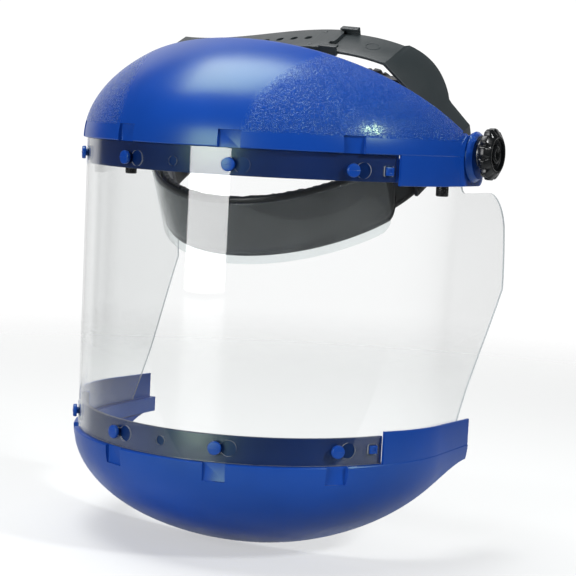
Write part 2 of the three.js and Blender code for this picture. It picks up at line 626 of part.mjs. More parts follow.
// A plate on the bolt with an arm that reaches forward and down to a round stop peg, which
// hangs upright under the crown's wing.
function tiltStop(side) {
  const outer = STOP_X + STOP_THICKNESS;
  const disc = pivotRod(STOP_DISC_DIAMETER, side * STOP_X, side * outer, 18);
  const [footY, footZ] = [-STOP_FORWARD, PIVOT_OVER_RING - STOP_DOWN];
  const clearY = -HANGER_WIDTH / 2 - 1;
  const web = plateX([
    [-2, PIVOT_OVER_RING + 6], [clearY - 4, PIVOT_OVER_RING], [clearY - 4, PIVOT_OVER_RING - 9],
    [-2, PIVOT_OVER_RING - 9],
  ], side * STOP_X, side * outer);
  const jogX = STOP_X - STOP_JOG;
  const step = plateX([
    [clearY, PIVOT_OVER_RING - 0.5], [clearY - 4, PIVOT_OVER_RING - 0.5], [clearY - 4, PIVOT_OVER_RING - 9],
    [clearY, PIVOT_OVER_RING - 9],
  ], side * jogX, side * outer);
  const arm = plateX([
    [clearY - 1, PIVOT_OVER_RING - 0.5], [footY - 1, footZ + 5], [footY - 1, footZ - 1],
    [clearY - 1, PIVOT_OVER_RING - 9],
  ], side * jogX, side * (jogX + 3));
  const peg = new THREE.CylinderGeometry(STOP_PEG_DIAMETER / 2, STOP_PEG_DIAMETER / 2, STOP_PEG_LENGTH, 14)
    .rotateX(Math.PI / 2 - TIP)
    .translate(side * (jogX + 1.2), footY, footZ);
  const hole = pivotRod(BOLT_HOLE_DIAMETER, side * (STOP_X - 3), side * (STOP_X + 3), 14);
  return cut(join(disc, web, step, arm, peg), hole);
}

function lobedOutline(radius, lobes, depth, stepsPerLobe) {
  const count = lobes * stepsPerLobe;
  return Array.from({ length: count }, (_, i) => {
    const angle = 2 * Math.PI * i / count;
    const r = radius - depth * Math.max(0, -Math.cos(lobes * angle)) ** 2;
    return [r * Math.cos(angle), r * Math.sin(angle)];
  });
}

function tensionKnob(side) {
  const outline = lobedOutline(KNOB_DIAMETER / 2, KNOB_LOBES, 1.5, 4);
  const [back, front] = [KNOB_BACK_X + KNOB_HUB, KNOB_BACK_X + KNOB_THICKNESS];
  const grip = plateX(outline, side * back, side * (front - 1.8)).translate(0, 0, PIVOT_OVER_RING);
  const face = pivotRod(KNOB_DIAMETER - 3, side * (front - 2.2), side * front, 24, KNOB_DIAMETER - 8);
  const hub = pivotRod(20, side * KNOB_BACK_X, side * (back + 1), 20);
  const recess = pivotRod(KNOB_RECESS_DIAMETER, side * (front - KNOB_RECESS_DEPTH), side * (front + 1), 20);
  const bore = pivotRod(INSERT_DIAMETER + 2 * FIT_GAP, side * (KNOB_BACK_X - 1), side * (front + 1), 16);
  return cut(join(grip, face, hub), recess, bore);
}

function knobInsert(side) {
  const front = KNOB_BACK_X + KNOB_THICKNESS;
  const [from, to] = [side * (KNOB_BACK_X + 0.4), side * (front - 0.6)];
  const barrel = pivotRod(INSERT_DIAMETER, from, to, 16, INSERT_DIAMETER - 1.2);
  const bore = pivotRod(BOLT_HOLE_DIAMETER, side * (KNOB_BACK_X - 1), side * (front - 2.8), 14);
  return cut(barrel, bore);
}

// ---------------------------------------------------------------- headband

// Point of the head ring at an angle from the front, pushed out by an offset.
function ringPoint(degrees, offset, height) {
  const angle = THREE.MathUtils.degToRad(degrees);
  const front = Math.cos(angle) > 0;
  const power = front ? 2 : BAND_REAR_SQUARENESS;
  const length = front ? BAND_FRONT_LENGTH : BAND_REAR_LENGTH;
  const [across, along] = [Math.abs(Math.sin(angle)), Math.abs(Math.cos(angle))].map((v) => v ** (2 / power));
  const normal = new THREE.Vector2(
    Math.sign(Math.sin(angle)) * across ** (power - 1) / BAND_HALF_WIDTH,
    -Math.sign(Math.cos(angle)) * along ** (power - 1) / length,
  ).normalize();
  return new THREE.Vector3(
    Math.sign(Math.sin(angle)) * BAND_HALF_WIDTH * across + offset * normal.x,
    -Math.sign(Math.cos(angle)) * length * along + offset * normal.y,
    height,
  );
}

// Angle at which the ring's rear half reaches a distance behind the widest line.
function ringAngleAt(behind) {
  const share = (behind / BAND_REAR_LENGTH) ** (BAND_REAR_SQUARENESS / 2);
  return 90 + THREE.MathUtils.radToDeg(Math.asin(share));
}

// A band round the ring between two angles; profile lists [offset, height] pairs from the
// bottom to the top for its outer and inner faces.
function ringBand(from, to, steps, outerProfile, innerProfile) {
  const columns = (profile) => spread(from, to, steps)
    .map((angle) => profile.map(([offset, height]) => ringPoint(angle, offset, height)));
  return skin(columns(outerProfile), columns(innerProfile));
}

function flatBand(wrap, inner, outer, bottom, top, steps) {
  return ringBand(-wrap, wrap, steps, [[outer, bottom], [outer, top]], [[inner, bottom], [inner, top]]);
}

function headbandFront() {
  const half = BAND_HEIGHT / 2;
  const band = flatBand(BAND_WRAP, -BAND_WALL, 0, -half, half, 28);
  const holes = [-1, 1].flatMap((side) => [-1, 1].map((end) => rodX(
    RIVET_STEM_DIAMETER + 2 * FIT_GAP, side * (BAND_HALF_WIDTH - 6), side * (BAND_HALF_WIDTH + 6),
    end * HANGER_WIDTH / 4, RIVET_HEIGHT, 10,
  )));
  return cut(band, ...holes);
}

function browPad() {
  const half = PAD_HEIGHT / 2;
  return flatBand(PAD_WRAP, PAD_OUTER_OFFSET - PAD_WALL, PAD_OUTER_OFFSET, -half, half, 18);
}

function browCover() {
  const half = PAD_HEIGHT / 2;
  const outer = COVER_INNER_OFFSET + COVER_WALL;
  return flatBand(PAD_WRAP, COVER_INNER_OFFSET, outer, -half, half, 18);
}

function browFilm() {
  return flatBand(PAD_WRAP - 4, FILM_INNER_OFFSET, FILM_INNER_OFFSET + FILM_WALL, FILM_BOTTOM, FILM_TOP, 18);
}

// ---------------------------------------------------------------- side hangers and rivets

function sideHanger(side) {
  const foot = BAND_HALF_WIDTH + FIT_GAP;
  const wall = HANGER_WALL;
  const top = PIVOT_OVER_RING + 11;
  const bend = PIVOT_OVER_RING - 11.5;
  const low = -BAND_HEIGHT / 2;
  const outline = [
    [foot, low], [foot + wall, low], [foot + wall, bend - 4.5], [HANGER_X + wall, bend + 3],
    [HANGER_X + wall, top], [HANGER_X, top], [HANGER_X, bend + 4.5], [foot, bend - 2.6],
  ].map(([x, z]) => [side * x, z]);
  if (side < 0) outline.reverse();
  const arm = plateY(outline, -HANGER_WIDTH / 2, HANGER_WIDTH / 2);
  const holes = [pivotRod(BOLT_HOLE_DIAMETER, side * (HANGER_X - 2), side * (HANGER_X + 5), 14)];
  for (const end of [-1, 1]) {
    holes.push(rodX(RIVET_STEM_DIAMETER + 2 * FIT_GAP, side * (foot - 3), side * (foot + 6),
      end * HANGER_WIDTH / 4, RIVET_HEIGHT, 10));
  }
  return cut(arm, ...holes);
}

function hangerRivet(side, end) {
  const edge = ringPoint(ringAngleAt(HANGER_WIDTH / 4 + RIVET_DIAMETER / 2), 0, 0).x;
  const inner = edge - BAND_WALL - 2 * FIT_GAP;
  const outer = BAND_HALF_WIDTH + FIT_GAP + HANGER_WALL + FIT_GAP;
  const y = end * HANGER_WIDTH / 4;
  return join(
    rodX(RIVET_DIAMETER, side * (inner - RIVET_HEAD), side * inner, y, RIVET_HEIGHT, 12),
    rodX(RIVET_STEM_DIAMETER, side * (inner - 0.5), side * (outer + 0.5), y, RIVET_HEIGHT, 8),
    rodX(RIVET_DIAMETER, side * outer, side * (outer + RIVET_HEAD), y, RIVET_HEIGHT, 12),
  );
}

// ---------------------------------------------------------------- overhead strap

function strapTopHeight(x, lift) {
  const share = x / STRAP_FOLD_HALF_WIDTH;
  const rise = (STRAP_RISE + STRAP_SKEW * share) * (1 - share ** 2);
  return PIVOT_OVER_RING + STRAP_FOLD_HEIGHT + rise + lift;
}

function strapSlope(x) {
  const share = x / STRAP_FOLD_HALF_WIDTH;
  const rise = STRAP_RISE + STRAP_SKEW * share;
  return (STRAP_SKEW * (1 - share ** 2) - 2 * share * rise) / STRAP_FOLD_HALF_WIDTH;
}

// Inner face of one half in the X-Z plane, from the top of the head down to the pivot, for the
// side it is on. The last two numbers are how far it reaches to the front and to the rear.
function strapLine(side, lift, endX) {
  const pivot = PIVOT_OVER_RING;
  const half = STRAP_WIDTH / 2;
  const foot = STRAP_FOOT_WIDTH / 2;
  const top = spread(endX, STRAP_FOLD_HALF_WIDTH, 8)
    .map((x) => [x, strapTopHeight(side * x, lift), half, half]);
  const [foldX, foldZ] = top[top.length - 1];
  const leg = [0.1, 0.24, 0.38, 0.52, 0.64, 0.7].map((share) => {
    const width = half + (foot - half) * share;
    const web = STRAP_WEB * Math.max(0, Math.sin(Math.PI * share / 0.7)) ** 0.8;
    const x = foldX + share * (STRAP_FOOT_X - foldX);
    return [x, foldZ + share * (pivot + STRAP_FOOT_TOP - foldZ), width, width + web];
  });
  return [
    ...top, ...leg,
    [STRAP_FOOT_X, pivot + STRAP_FOOT_TOP, foot, foot],
    [STRAP_FOOT_X, pivot - foot, foot, foot],
  ];
}

// The line's points, pushed outwards by a distance.
function shifted(line, distance) {
  const points = line.map(([x, z]) => new THREE.Vector2(x, z));
  return points.map((p, i) => {
    const before = points[Math.max(0, i - 1)];
    const after = points[Math.min(points.length - 1, i + 1)];
    const [a, b] = [p.clone().sub(before), after.clone().sub(p)];
    if (i === 0) a.copy(b);
    if (i === points.length - 1) b.copy(a);
    const [na, nb] = [a, b].map((v) => new THREE.Vector2(-v.y, v.x).normalize());
    const n = na.clone().add(nb).normalize();
    return p.clone().addScaledVector(n, distance / n.dot(na));
  });
}

function strapHalf(side, lift, endX) {
  const line = strapLine(side, lift, endX);
  const grid = (distance) => {
    const columns = shifted(line, distance).map((p, i) => [-line[i][2], line[i][3]]
      .map((y) => new THREE.Vector3(side * p.x, y, p.y)));
    return side > 0 ? columns : columns.reverse();
  };
  const from = side * (STRAP_FOOT_X - 3);
  const hole = pivotRod(BOLT_HOLE_DIAMETER, from, side * (STRAP_FOOT_X + 4), 14);
  return cut(skin(grid(STRAP_WALL), grid(0)), hole);
}

// Stand a piece made on the X-Y plane on the strap's inner face at x, leaning with the strap.
function placeOnStrap(geometry, x, lift) {
  return geometry.clone().rotateY(-Math.atan(strapSlope(x))).translate(x, 0, strapTopHeight(x, lift));
}

// The lower half. Its peg stands up into the last hole of the upper half, and its edge guides
// reach up round the upper half's edges.
function overheadStrapLeft() {
  const pegX = STRAP_ROW_X - (STRAP_HOLES - 1) * STRAP_HOLE_PITCH;
  const strap = strapHalf(1, LOWER_LIFT, pegX - STRAP_LAP);
  const half = STRAP_WIDTH / 2;
  const radius = STRAP_PEG_DIAMETER / 2;
  const pegHeight = 2 * STRAP_WALL + FIT_GAP;
  const peg = new THREE.CylinderGeometry(radius, radius, pegHeight, 10)
    .rotateX(Math.PI / 2)
    .translate(0, 0, 0.4 + pegHeight / 2);
  const wallLow = -0.6;
  const roof = 1.2;
  const roofLow = 2 * STRAP_WALL + 2 * FIT_GAP;
  const guides = [-1, 1].flatMap((edge) => {
    const wallY = edge * (half + FIT_GAP + GUIDE_WALL / 2);
    const height = roofLow + roof - wallLow;
    return [
      box(GUIDE_LENGTH, GUIDE_WALL, height, 0, wallY, wallLow + height / 2),
      box(GUIDE_LENGTH, GUIDE_WALL + 1.9, roof, 0, edge * (half - 0.1), roofLow + roof / 2),
      box(GUIDE_LENGTH, 3.2, 1.2, 0, edge * (half + 0.5), 0.4),
    ];
  });
  return join(
    strap,
    placeOnStrap(peg, pegX, LOWER_LIFT),
    ...guides.map((guide) => placeOnStrap(guide, GUIDE_X, LOWER_LIFT)),
  );
}

// The upper half, with the row of holes and a stepped end.
function overheadStrapRight() {
  const end = STRAP_TONGUE_X;
  const strap = strapHalf(-1, 0, -(end + 3));
  const half = STRAP_WIDTH / 2;
  const waste = [
    [end + 6, -half - 1], [end + 2, -half - 1], [end - 0.6, -9.3], [end - 1.9, -5], [end + 0.3, -4.2],
    [end + 0.6, -1.6], [end - 0.2, 9.3], [end - 3, half + 1], [end + 6, half + 1],
  ];
  const shape = new THREE.Shape(waste.map(([x, y]) => new THREE.Vector2(x, y)));
  const trim = new THREE.ExtrudeGeometry(shape, { depth: 30, bevelEnabled: false })
    .translate(0, 0, PIVOT_OVER_RING + STRAP_FOLD_HEIGHT - 4);
  const radius = STRAP_HOLE_DIAMETER / 2;
  const holes = Array.from({ length: STRAP_HOLES }, (_, i) => {
    const tool = new THREE.CylinderGeometry(radius, radius, 20, 10).rotateX(Math.PI / 2);
    return placeOnStrap(tool, STRAP_ROW_X - i * STRAP_HOLE_PITCH, 0);
  });
  return cut(strap, trim, ...holes);
}

// ---------------------------------------------------------------- nape straps and ratchet

// Teeth that point down from a level edge, set so that two facing racks mesh with the pinion.
function toothedEdge(from, to, base) {
  const phase = TOOTH_PITCH / 2;
  const points = [];
  const first = Math.ceil((from - phase) / TOOTH_PITCH + 0.5);
  const last = Math.floor((to - phase) / TOOTH_PITCH - 0.5);
  for (let i = first; i <= last; i++) {
    const centre = phase + i * TOOTH_PITCH;
    const [root, top] = [TOOTH_ROOT_SHARE * TOOTH_PITCH / 2, TOOTH_TOP_SHARE * TOOTH_PITCH / 2];
    points.push([centre - root, base], [centre - top, base - TOOTH_HEIGHT]);
    points.push([centre + top, base - TOOTH_HEIGHT], [centre + root, base]);
  }
  return points;
}

// The strap runs from its lap on the front band round to the back, where it narrows to a
// toothed finger: above the pinion on the left, below it on the right.
function buildNapeStrap(side) {
  const half = NAPE_HEIGHT / 2;
  const outer = NAPE_OFFSET + NAPE_WALL;
  const angles = spread(ringAngleAt(NAPE_LAP_START), ringAngleAt(RACK_Y - NAPE_OFFSET), 9);
  const profile = (value) => angles
    .map((angle) => [-half, half].map((z) => ringPoint(side * angle, value, z)));
  const ordered = (grid) => (side > 0 ? grid : [...grid].reverse());
  const curved = skin(ordered(profile(outer)), ordered(profile(NAPE_OFFSET)));
  const joinX = RACK_END_X;
  const far = -RACK_OVERRUN;
  const outline = [
    [far, RACK_BASE], ...toothedEdge(far, joinX - 6, RACK_BASE), [joinX - 4, RACK_BASE], [joinX - 1, -half],
    [joinX + 4, -half], [joinX + 4, half], [joinX, half], [joinX - 2, RACK_BACK], [far, RACK_BACK],
  ];
  const turned = outline.map(([x, z]) => (side > 0 ? [x, z] : [-x, -z]));
  const rack = plateY(turned, RACK_Y, RACK_Y + RACK_WALL);
  return join(curved, rack);
}

function roundedRect(halfX, halfZ, radius, steps) {
  const corners = [[1, 1, 0], [-1, 1, 90], [-1, -1, 180], [1, -1, 270]];
  return corners.flatMap(([sx, sz, angle]) => arcPoints(
    sx * (halfX - radius), sz * (halfZ - radius), radius, angle, angle + 90, steps,
  ));
}

function ratchetHousing() {
  const front = RACK_Y - RACK_CLEARANCE;
  const [halfX, halfZ] = [HOUSING_LENGTH / 2, HOUSING_HEIGHT / 2];
  const body = plateY(roundedRect(halfX, halfZ, 9, 4), front, HOUSING_BACK + HOUSING_WALL);
  const channel = NAPE_HEIGHT + 1.2;
  const depth = HOUSING_BACK - front + 1;
  const hollow = box(HOUSING_LENGTH + 4, depth, channel, 0, HOUSING_BACK - depth / 2, 0);
  const outside = HOUSING_BACK + HOUSING_WALL + 1;
  const shaftHole = rodY(PINION_SHAFT_DIAMETER + 0.8, HOUSING_BACK - 1, outside, 0, 0, 16);
  return cut(body, hollow, shaftHole);
}

function ratchetCover() {
  const back = RACK_Y - RACK_CLEARANCE - FIT_GAP;
  const plate = plateY(roundedRect(HOUSING_LENGTH / 2, HOUSING_HEIGHT / 2, 9, 4), back - HOUSING_WALL, back);
  const hole = rodY(4.0, back - HOUSING_WALL - 1, back + 1, 0, 0, 12);
  return cut(plate, hole);
}

function pinion() {
  const outer = PINION_PITCH_RADIUS + TOOTH_HEIGHT / 2 - 0.05;
  const root = PINION_PITCH_RADIUS - TOOTH_HEIGHT / 2 - 0.2;
  const step = 2 * Math.PI / PINION_TEETH;
  const points = [];
  for (let i = 0; i < PINION_TEETH; i++) {
    const middle = Math.PI / 2 + i * step;
    for (const [r, share] of [[root, -TOOTH_ROOT_SHARE], [outer, -TOOTH_TOP_SHARE], [outer, TOOTH_TOP_SHARE],
      [root, TOOTH_ROOT_SHARE]]) {
      const angle = middle + share * step / 2;
      points.push([r * Math.cos(angle), r * Math.sin(angle)]);
    }
  }
  const gear = plateY(points, RACK_Y - 0.1, RACK_Y + RACK_WALL + 0.1);
  const shaftEnd = HOUSING_BACK + HOUSING_WALL + 3;
  const shaft = rodY(PINION_SHAFT_DIAMETER, RACK_Y + RACK_WALL - 0.4, shaftEnd, 0, 0, 14);
  const bore = rodY(SCREW_DIAMETER + 0.4, RACK_Y - 2, shaftEnd + 3, 0, 0, 12);
  return cut(join(gear, shaft), bore);
}

function ratchetDial() {
  const outline = lobedOutline(DIAL_DIAMETER / 2, DIAL_LOBES, 1.4, 4);
  const grip = plateY(outline, DIAL_FRONT, DIAL_FRONT + DIAL_THICKNESS);
  const socket = rodY(PINION_SHAFT_DIAMETER + 2 * FIT_GAP, DIAL_FRONT - 1, DIAL_FRONT + 3, 0, 0, 16);
  const hollow = rodY(DIAL_HOLLOW_DIAMETER, DIAL_FRONT - 1, DIAL_FRONT + DIAL_THICKNESS - DIAL_WEB, 0, 0, 20);
  const hub = rodY(12, DIAL_FRONT, DIAL_FRONT + 6, 0, 0, 16);
  const face = DIAL_FRONT + DIAL_THICKNESS;
  const bore = rodY(SCREW_DIAMETER + 1, DIAL_FRONT - 1, face + 1, 0, 0, 12);
  const sink = rodY(SCREW_HEAD_DIAMETER + 2 * FIT_GAP, face - 3, face + 1, 0, 0, 16);
  return cut(join(cut(grip, hollow), hub), socket, bore, sink);
}

function detentRing() {
  const start = HOUSING_BACK + HOUSING_WALL + FIT_GAP;
  const outline = lobedOutline(DETENT_DIAMETER / 2, 24, 0.8, 4);
  const ring = plateY(outline, start, start + DETENT_THICKNESS);
  return cut(ring, rodY(DETENT_BORE, start - 1, start + 3, 0, 0, 18));
}

function ratchetScrew() {
  const from = RACK_Y - RACK_CLEARANCE - FIT_GAP - HOUSING_WALL + 0.3;
  const end = DIAL_FRONT + DIAL_THICKNESS;
  return join(
    rodY(SCREW_DIAMETER, from, end - 2, 0, 0, 10),
    rodY(SCREW_HEAD_DIAMETER, end - 2.7, end - 0.9, 0, 0, 14),
  );
}

function napePad() {
  const back = RACK_Y - RACK_CLEARANCE - 2 * FIT_GAP - HOUSING_WALL;
  return plateY(roundedRect(NAPE_PAD_LENGTH / 2, NAPE_PAD_HEIGHT / 2, 8, 4), back - NAPE_PAD_WALL, back);
}

// ---------------------------------------------------------------- assembly

const part = new THREE.Group();
const shield = new THREE.Group();
shield.position.set(0, SHIELD_Y, SHIELD_Z);
const headgear = new THREE.Group();
headgear.rotation.x = TIP;
part.add(shield, headgear);

function add(group, name, geometry, material) {
  const mesh = new THREE.Mesh(geometry, material);
  mesh.name = name;
  group.add(mesh);
}

add(shield, 'crown_shell', buildCrown(), BLUE);
add(shield, 'face_window', buildWindow(), CLEAR);
add(shield, 'chin_guard', buildChinGuard(), BLUE);

add(headgear, 'headband_front', headbandFront(), BLACK);
add(headgear, 'brow_pad', browPad(), FOAM);
add(headgear, 'brow_pad_cover', browCover(), VINYL);
add(headgear, 'brow_film', browFilm(), CLEAR);

for (const [side, word] of [[1, 'left'], [-1, 'right']]) {
  add(headgear, `side_hanger_${word}`, sideHanger(side), BLACK);
  add(headgear, `pivot_bolt_${word}`, pivotBolt(side), STEEL);
  add(headgear, `tilt_stop_${word}`, tiltStop(side), BLACK);
  add(headgear, `friction_washer_${word}`, washer(side, INNER_WASHER_X, FRICTION_WASHER_DIAMETER), BLACK);
  add(headgear, `spring_washer_${word}`, washer(side, OUTER_WASHER_X, SPRING_WASHER_DIAMETER), STEEL);
  add(headgear, `tension_knob_${word}`, tensionKnob(side), BLACK);
  add(headgear, `knob_insert_${word}`, knobInsert(side), BLACK);
  for (const [end, place] of [[-1, 'front'], [1, 'rear']]) {
    add(headgear, `hanger_rivet_${word}_${place}`, hangerRivet(side, end), BLACK);
  }
  add(headgear, `nape_strap_${word}`, buildNapeStrap(side), BLACK);
}

add(headgear, 'overhead_strap_left', overheadStrapLeft(), STRAP_GREY);
add(headgear, 'overhead_strap_right', overheadStrapRight(), STRAP_GREY);
add(headgear, 'ratchet_housing', ratchetHousing(), BLACK);
add(headgear, 'ratchet_cover', ratchetCover(), BLACK);
add(headgear, 'ratchet_pinion', pinion(), BLACK);
add(headgear, 'ratchet_dial', ratchetDial(), BLACK);
add(headgear, 'detent_ring', detentRing(), BLACK);
add(headgear, 'ratchet_screw', ratchetScrew(), STEEL);
add(headgear, 'nape_pad', napePad(), FOAM);

export default part;
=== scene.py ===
"""A protective face shield: blue crown and chin guard, clear wrap-around window, padded ratchet headgear.

Lengths in this script are millimetres in two local frames, turned into metres of the row frame when a
mesh is made: the shield's frame (upper stud row at z = 0, widest line of the window at y = 0) and the
headgear's frame (level head ring, tipped as a whole about the row's origin).
"""

import json
import math

import bpy
import numpy as np
from mathutils import Matrix, Vector
from mathutils.bvhtree import BVHTree


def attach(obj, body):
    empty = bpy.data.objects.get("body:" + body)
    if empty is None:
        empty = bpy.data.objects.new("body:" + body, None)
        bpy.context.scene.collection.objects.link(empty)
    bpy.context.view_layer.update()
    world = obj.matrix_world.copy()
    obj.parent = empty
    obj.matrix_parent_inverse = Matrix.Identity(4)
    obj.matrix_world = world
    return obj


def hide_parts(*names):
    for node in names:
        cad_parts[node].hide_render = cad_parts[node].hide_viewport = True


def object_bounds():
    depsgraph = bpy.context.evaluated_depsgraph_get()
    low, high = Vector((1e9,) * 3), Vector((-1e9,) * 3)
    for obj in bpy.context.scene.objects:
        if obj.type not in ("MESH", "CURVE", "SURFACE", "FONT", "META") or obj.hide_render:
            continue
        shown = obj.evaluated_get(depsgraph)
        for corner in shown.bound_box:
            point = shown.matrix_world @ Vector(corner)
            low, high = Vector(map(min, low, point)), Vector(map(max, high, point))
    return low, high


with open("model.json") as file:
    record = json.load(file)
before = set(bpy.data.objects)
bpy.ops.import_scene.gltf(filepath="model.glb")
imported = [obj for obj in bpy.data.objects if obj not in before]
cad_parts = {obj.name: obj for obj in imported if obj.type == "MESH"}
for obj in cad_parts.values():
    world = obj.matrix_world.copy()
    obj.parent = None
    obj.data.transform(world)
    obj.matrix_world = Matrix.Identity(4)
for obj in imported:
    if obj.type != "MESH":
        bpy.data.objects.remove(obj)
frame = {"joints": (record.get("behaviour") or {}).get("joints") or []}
cad_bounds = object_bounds()
scene = bpy.context.scene
MM = 0.001

# ---------------------------------------------------------------- frames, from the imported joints

joints = {joint["name"]: joint for joint in frame["joints"]}
pivot = Vector(joints["shield_tilt"]["pos_m"]) / MM
dial_axis = Vector(joints["dial_turn"]["axis"])
TIP = math.atan2(dial_axis.z, dial_axis.y)
PIVOT_BEHIND = 12.0
PIVOT_ABOVE = 11.0
SHIELD = Matrix.Translation(pivot - Vector((0, PIVOT_BEHIND, PIVOT_ABOVE)))
HEADGEAR = Matrix.Rotation(TIP, 4, "X")
PIVOT_Z = pivot.length                       # the pivots' height above the head ring
HEAD_PIVOT = (0.0, PIVOT_Z)

# ---------------------------------------------------------------- sizes

GAP = 0.3
WINDOW_HALF_WIDTH = 112.5
WINDOW_DEPTH = 119.2
WINDOW_THICKNESS = 1.0
ROW_SPACING = 149.0
EDGE_MARGIN = 8.4
WINDOW_REAR = 66.4
WINDOW_FLARE = 3.5
NECK_NARROWING = 2.6
NECK_FORWARD = 4.1
STUDS = (-97.6, -32.2, 32.2, 97.6)
PEGS = (-120.0, 120.0)
STUD_HEAD = 7.3
STUD_STEM = 3.8
STUD_LIFT = 0.9
STUD_THICKNESS = 2.2
PEG_SIZE = 4.6
KEYHOLE = 8.6
KEYHOLE_SHIFT = 7.0
CENTRE_HOLE = 5.2
SHELL_WALL = 2.4
LIP = 2.4
RAIL_OUT = -WINDOW_THICKNESS - GAP
RAIL_IN = RAIL_OUT - 2.7
RAIL_DROP = 5.8
LIP_HEIGHT = 8.7
WING_STEP = 126.0
CROWN_RISE = 69.4
CROWN_REAR_TOP = 64.4
CROWN_REAR_LOW = 5.0
CROWN_REAR_LOW_HEIGHT = 21.0
CROWN_REAR_BOW = 0.82
SKIRT = 9.3
WING_DROP = 7.5
TAIL_REAR = 26.0
TAIL_TOP = 20.0
BOWL_DROP = 63.5
BOWL_REAR_BOTTOM = 52.0
BOWL_REAR_BOW = 0.56
GUARD_REAR = 34.0
GUARD_WING_BOTTOM = 17.0
GUARD_RAIL_ABOVE = 6.6
GUARD_RAIL_BELOW = 8.2
POCKET_WIDTH = 12.5
POCKET_DEPTH = 2.7
BOSS = 28.5
BOSS_HEIGHT = 3.6
BOLT = 6.0
BOLT_HOLE = BOLT + 0.7
KNOB = 29.0
KNOB_THICKNESS = 8.6
KNOB_LOBES = 12

BAND_HALF = 79.0
BAND_FRONT = 90.0
BAND_SQUARENESS = 2.6
BAND_WALL = 1.8
BAND_HEIGHT = 26.0
BAND_WRAP = 112.0
HANGER_WIDTH = 22.0
RIVET_REACH = 5.5
RIVET_HEIGHT = -9.0
PAD_WALL = 5.0
PAD_HEIGHT = 36.0
PAD_WRAP = 72.0
COVER_WALL = 1.7
FILM_WALL = 0.8
FILM_BOTTOM = -22.0
FILM_TOP = 15.0
STRAP_WIDTH = 27.5
STRAP_FOOT_WIDTH = 21.0
STRAP_WALL = 1.6
STRAP_RISE = 4.9
STRAP_SKEW = 7.5
STRAP_FOLD_X = 72.0
STRAP_FOLD_Z = 57.9
STRAP_FOOT_TOP = 12.0
STRAP_HOLE = 4.6
STRAP_HOLE_PITCH = 9.5
STRAP_ROW_X = 19.9
TONGUE = 38.0
STRAP_HOLES = 6
GUIDE_X = 39.5
GUIDE_LENGTH = 11.0
GUIDE_WALL = 1.8
GUIDE_ROOF = 1.2
GUIDE_SUNK = 0.6      # how far the guide walls reach below the strap's inner face
STRAP_PEG = 3.8
STRAP_WEB = 12.0
NAPE_WALL = 1.8
NAPE_HEIGHT = 20.0
NAPE_LAP_START = 15.0
RACK_Y = 93.0
RACK_WALL = 2.0
RACK_CLEARANCE = 0.4
HOUSING_LENGTH = 66.0
HOUSING_HEIGHT = 32.0
HOUSING_WALL = 2.0
PINION_RADIUS = 5.0
PINION_TEETH = 10
TOOTH = 1.3
DIAL = 34.0
DIAL_THICKNESS = 11.0
DIAL_LOBES = 14
NAPE_PAD_WALL = 8.0

WING_OUT_X = WINDOW_HALF_WIDTH + LIP
WING_IN_X = WINDOW_HALF_WIDTH + GAP
BOSS_FACE_X = WING_OUT_X + BOSS_HEIGHT
KNOB_BACK_X = BOSS_FACE_X + 1.8
# distances inwards from the knob's back to each piece on the pivot
SPRING_WASHER_BACK = 1.5
FRICTION_WASHER_BACK = 9.0
STOP_BACK = 11.1
STRAP_BACK = 13.0
HANGER_BACK = 15.5
BOLT_BACK = 18.0
HEAD_BACK_Y = RACK_Y + RACK_WALL + RACK_CLEARANCE
DIAL_FRONT_Y = HEAD_BACK_Y + HOUSING_WALL + GAP + 1.6
NAPE_OFFSET = GAP + 0.1
RACK_END_X = HOUSING_LENGTH / 2 + 2
BAND_REAR = (RACK_Y - NAPE_OFFSET) / (
    1 - (RACK_END_X / BAND_HALF) ** BAND_SQUARENESS
) ** (1 / BAND_SQUARENESS)


# ---------------------------------------------------------------- mesh helpers


def mesh_object(name, points, faces, place):
    """A mesh from millimetre points of a local frame, in metres of the row frame."""
    mesh = bpy.data.meshes.new(name)
    turned = np.asarray(points, float) @ np.array(place.to_3x3()).T + np.array(place.translation)
    mesh.from_pydata((turned * MM).tolist(), [], faces)
    mesh.update()
    obj = bpy.data.objects.new(name, mesh)
    scene.collection.objects.link(obj)
    return obj


def loft(name, loops, place, ends=True):
    """Closed loops of points joined one after the next, with a flat cap on each end."""
    loops = np.asarray(loops, float)
    columns, count = loops.shape[:2]
    faces = []
    for i in range(columns - (1 if ends else 0)):
        after = (i + 1) % columns
        for j in range(count):
            k = (j + 1) % count
            faces.append((i * count + j, i * count + k, after * count + k, after * count + j))
    if ends:
        faces.append(tuple(reversed(range(count))))
        faces.append(tuple((columns - 1) * count + j for j in range(count)))
    obj = mesh_object(name, loops.reshape(-1, 3), faces, place)
    face_out(obj)
    return obj


def face_out(obj):
    """Turns the whole closed mesh inside out if its volume is negative."""
    mesh = obj.data
    mesh.calc_loop_triangles()
    points = np.empty(len(mesh.vertices) * 3)
    mesh.vertices.foreach_get("co", points)
    points = points.reshape(-1, 3)
    triangles = np.array([t.vertices[:] for t in mesh.loop_triangles])
    a, b, c = (points[triangles[:, k]] for k in range(3))
    if np.einsum("ij,ij->i", a, np.cross(b, c)).sum() < 0:
        mesh.flip_normals()


def turned(name, profile, place, steps=48, lobes=0, closed=True):
    """A solid of revolution about local Z: profile lists (height, radius, lobe depth). A closed profile
    makes a ring, an open one ends on the axis with flat caps."""
    angles = np.linspace(0, 2 * math.pi, steps, endpoint=False)
    notch = np.maximum(0, -np.cos(lobes * angles)) ** 2 if lobes else np.zeros(steps)
    loops = []
    for height, radius, depth in profile:
        r = radius - depth * notch
        loops.append(np.stack([r * np.cos(angles), r * np.sin(angles), np.full(steps, height)], 1))
    return loft(name, loops, place, ends=not closed)


def along_x(side, x, y, z):
    """Local Z runs outwards along X from a point."""
    return Matrix.Translation((side * x, y, z)) @ Matrix.Rotation(side * math.pi / 2, 4, "Y")


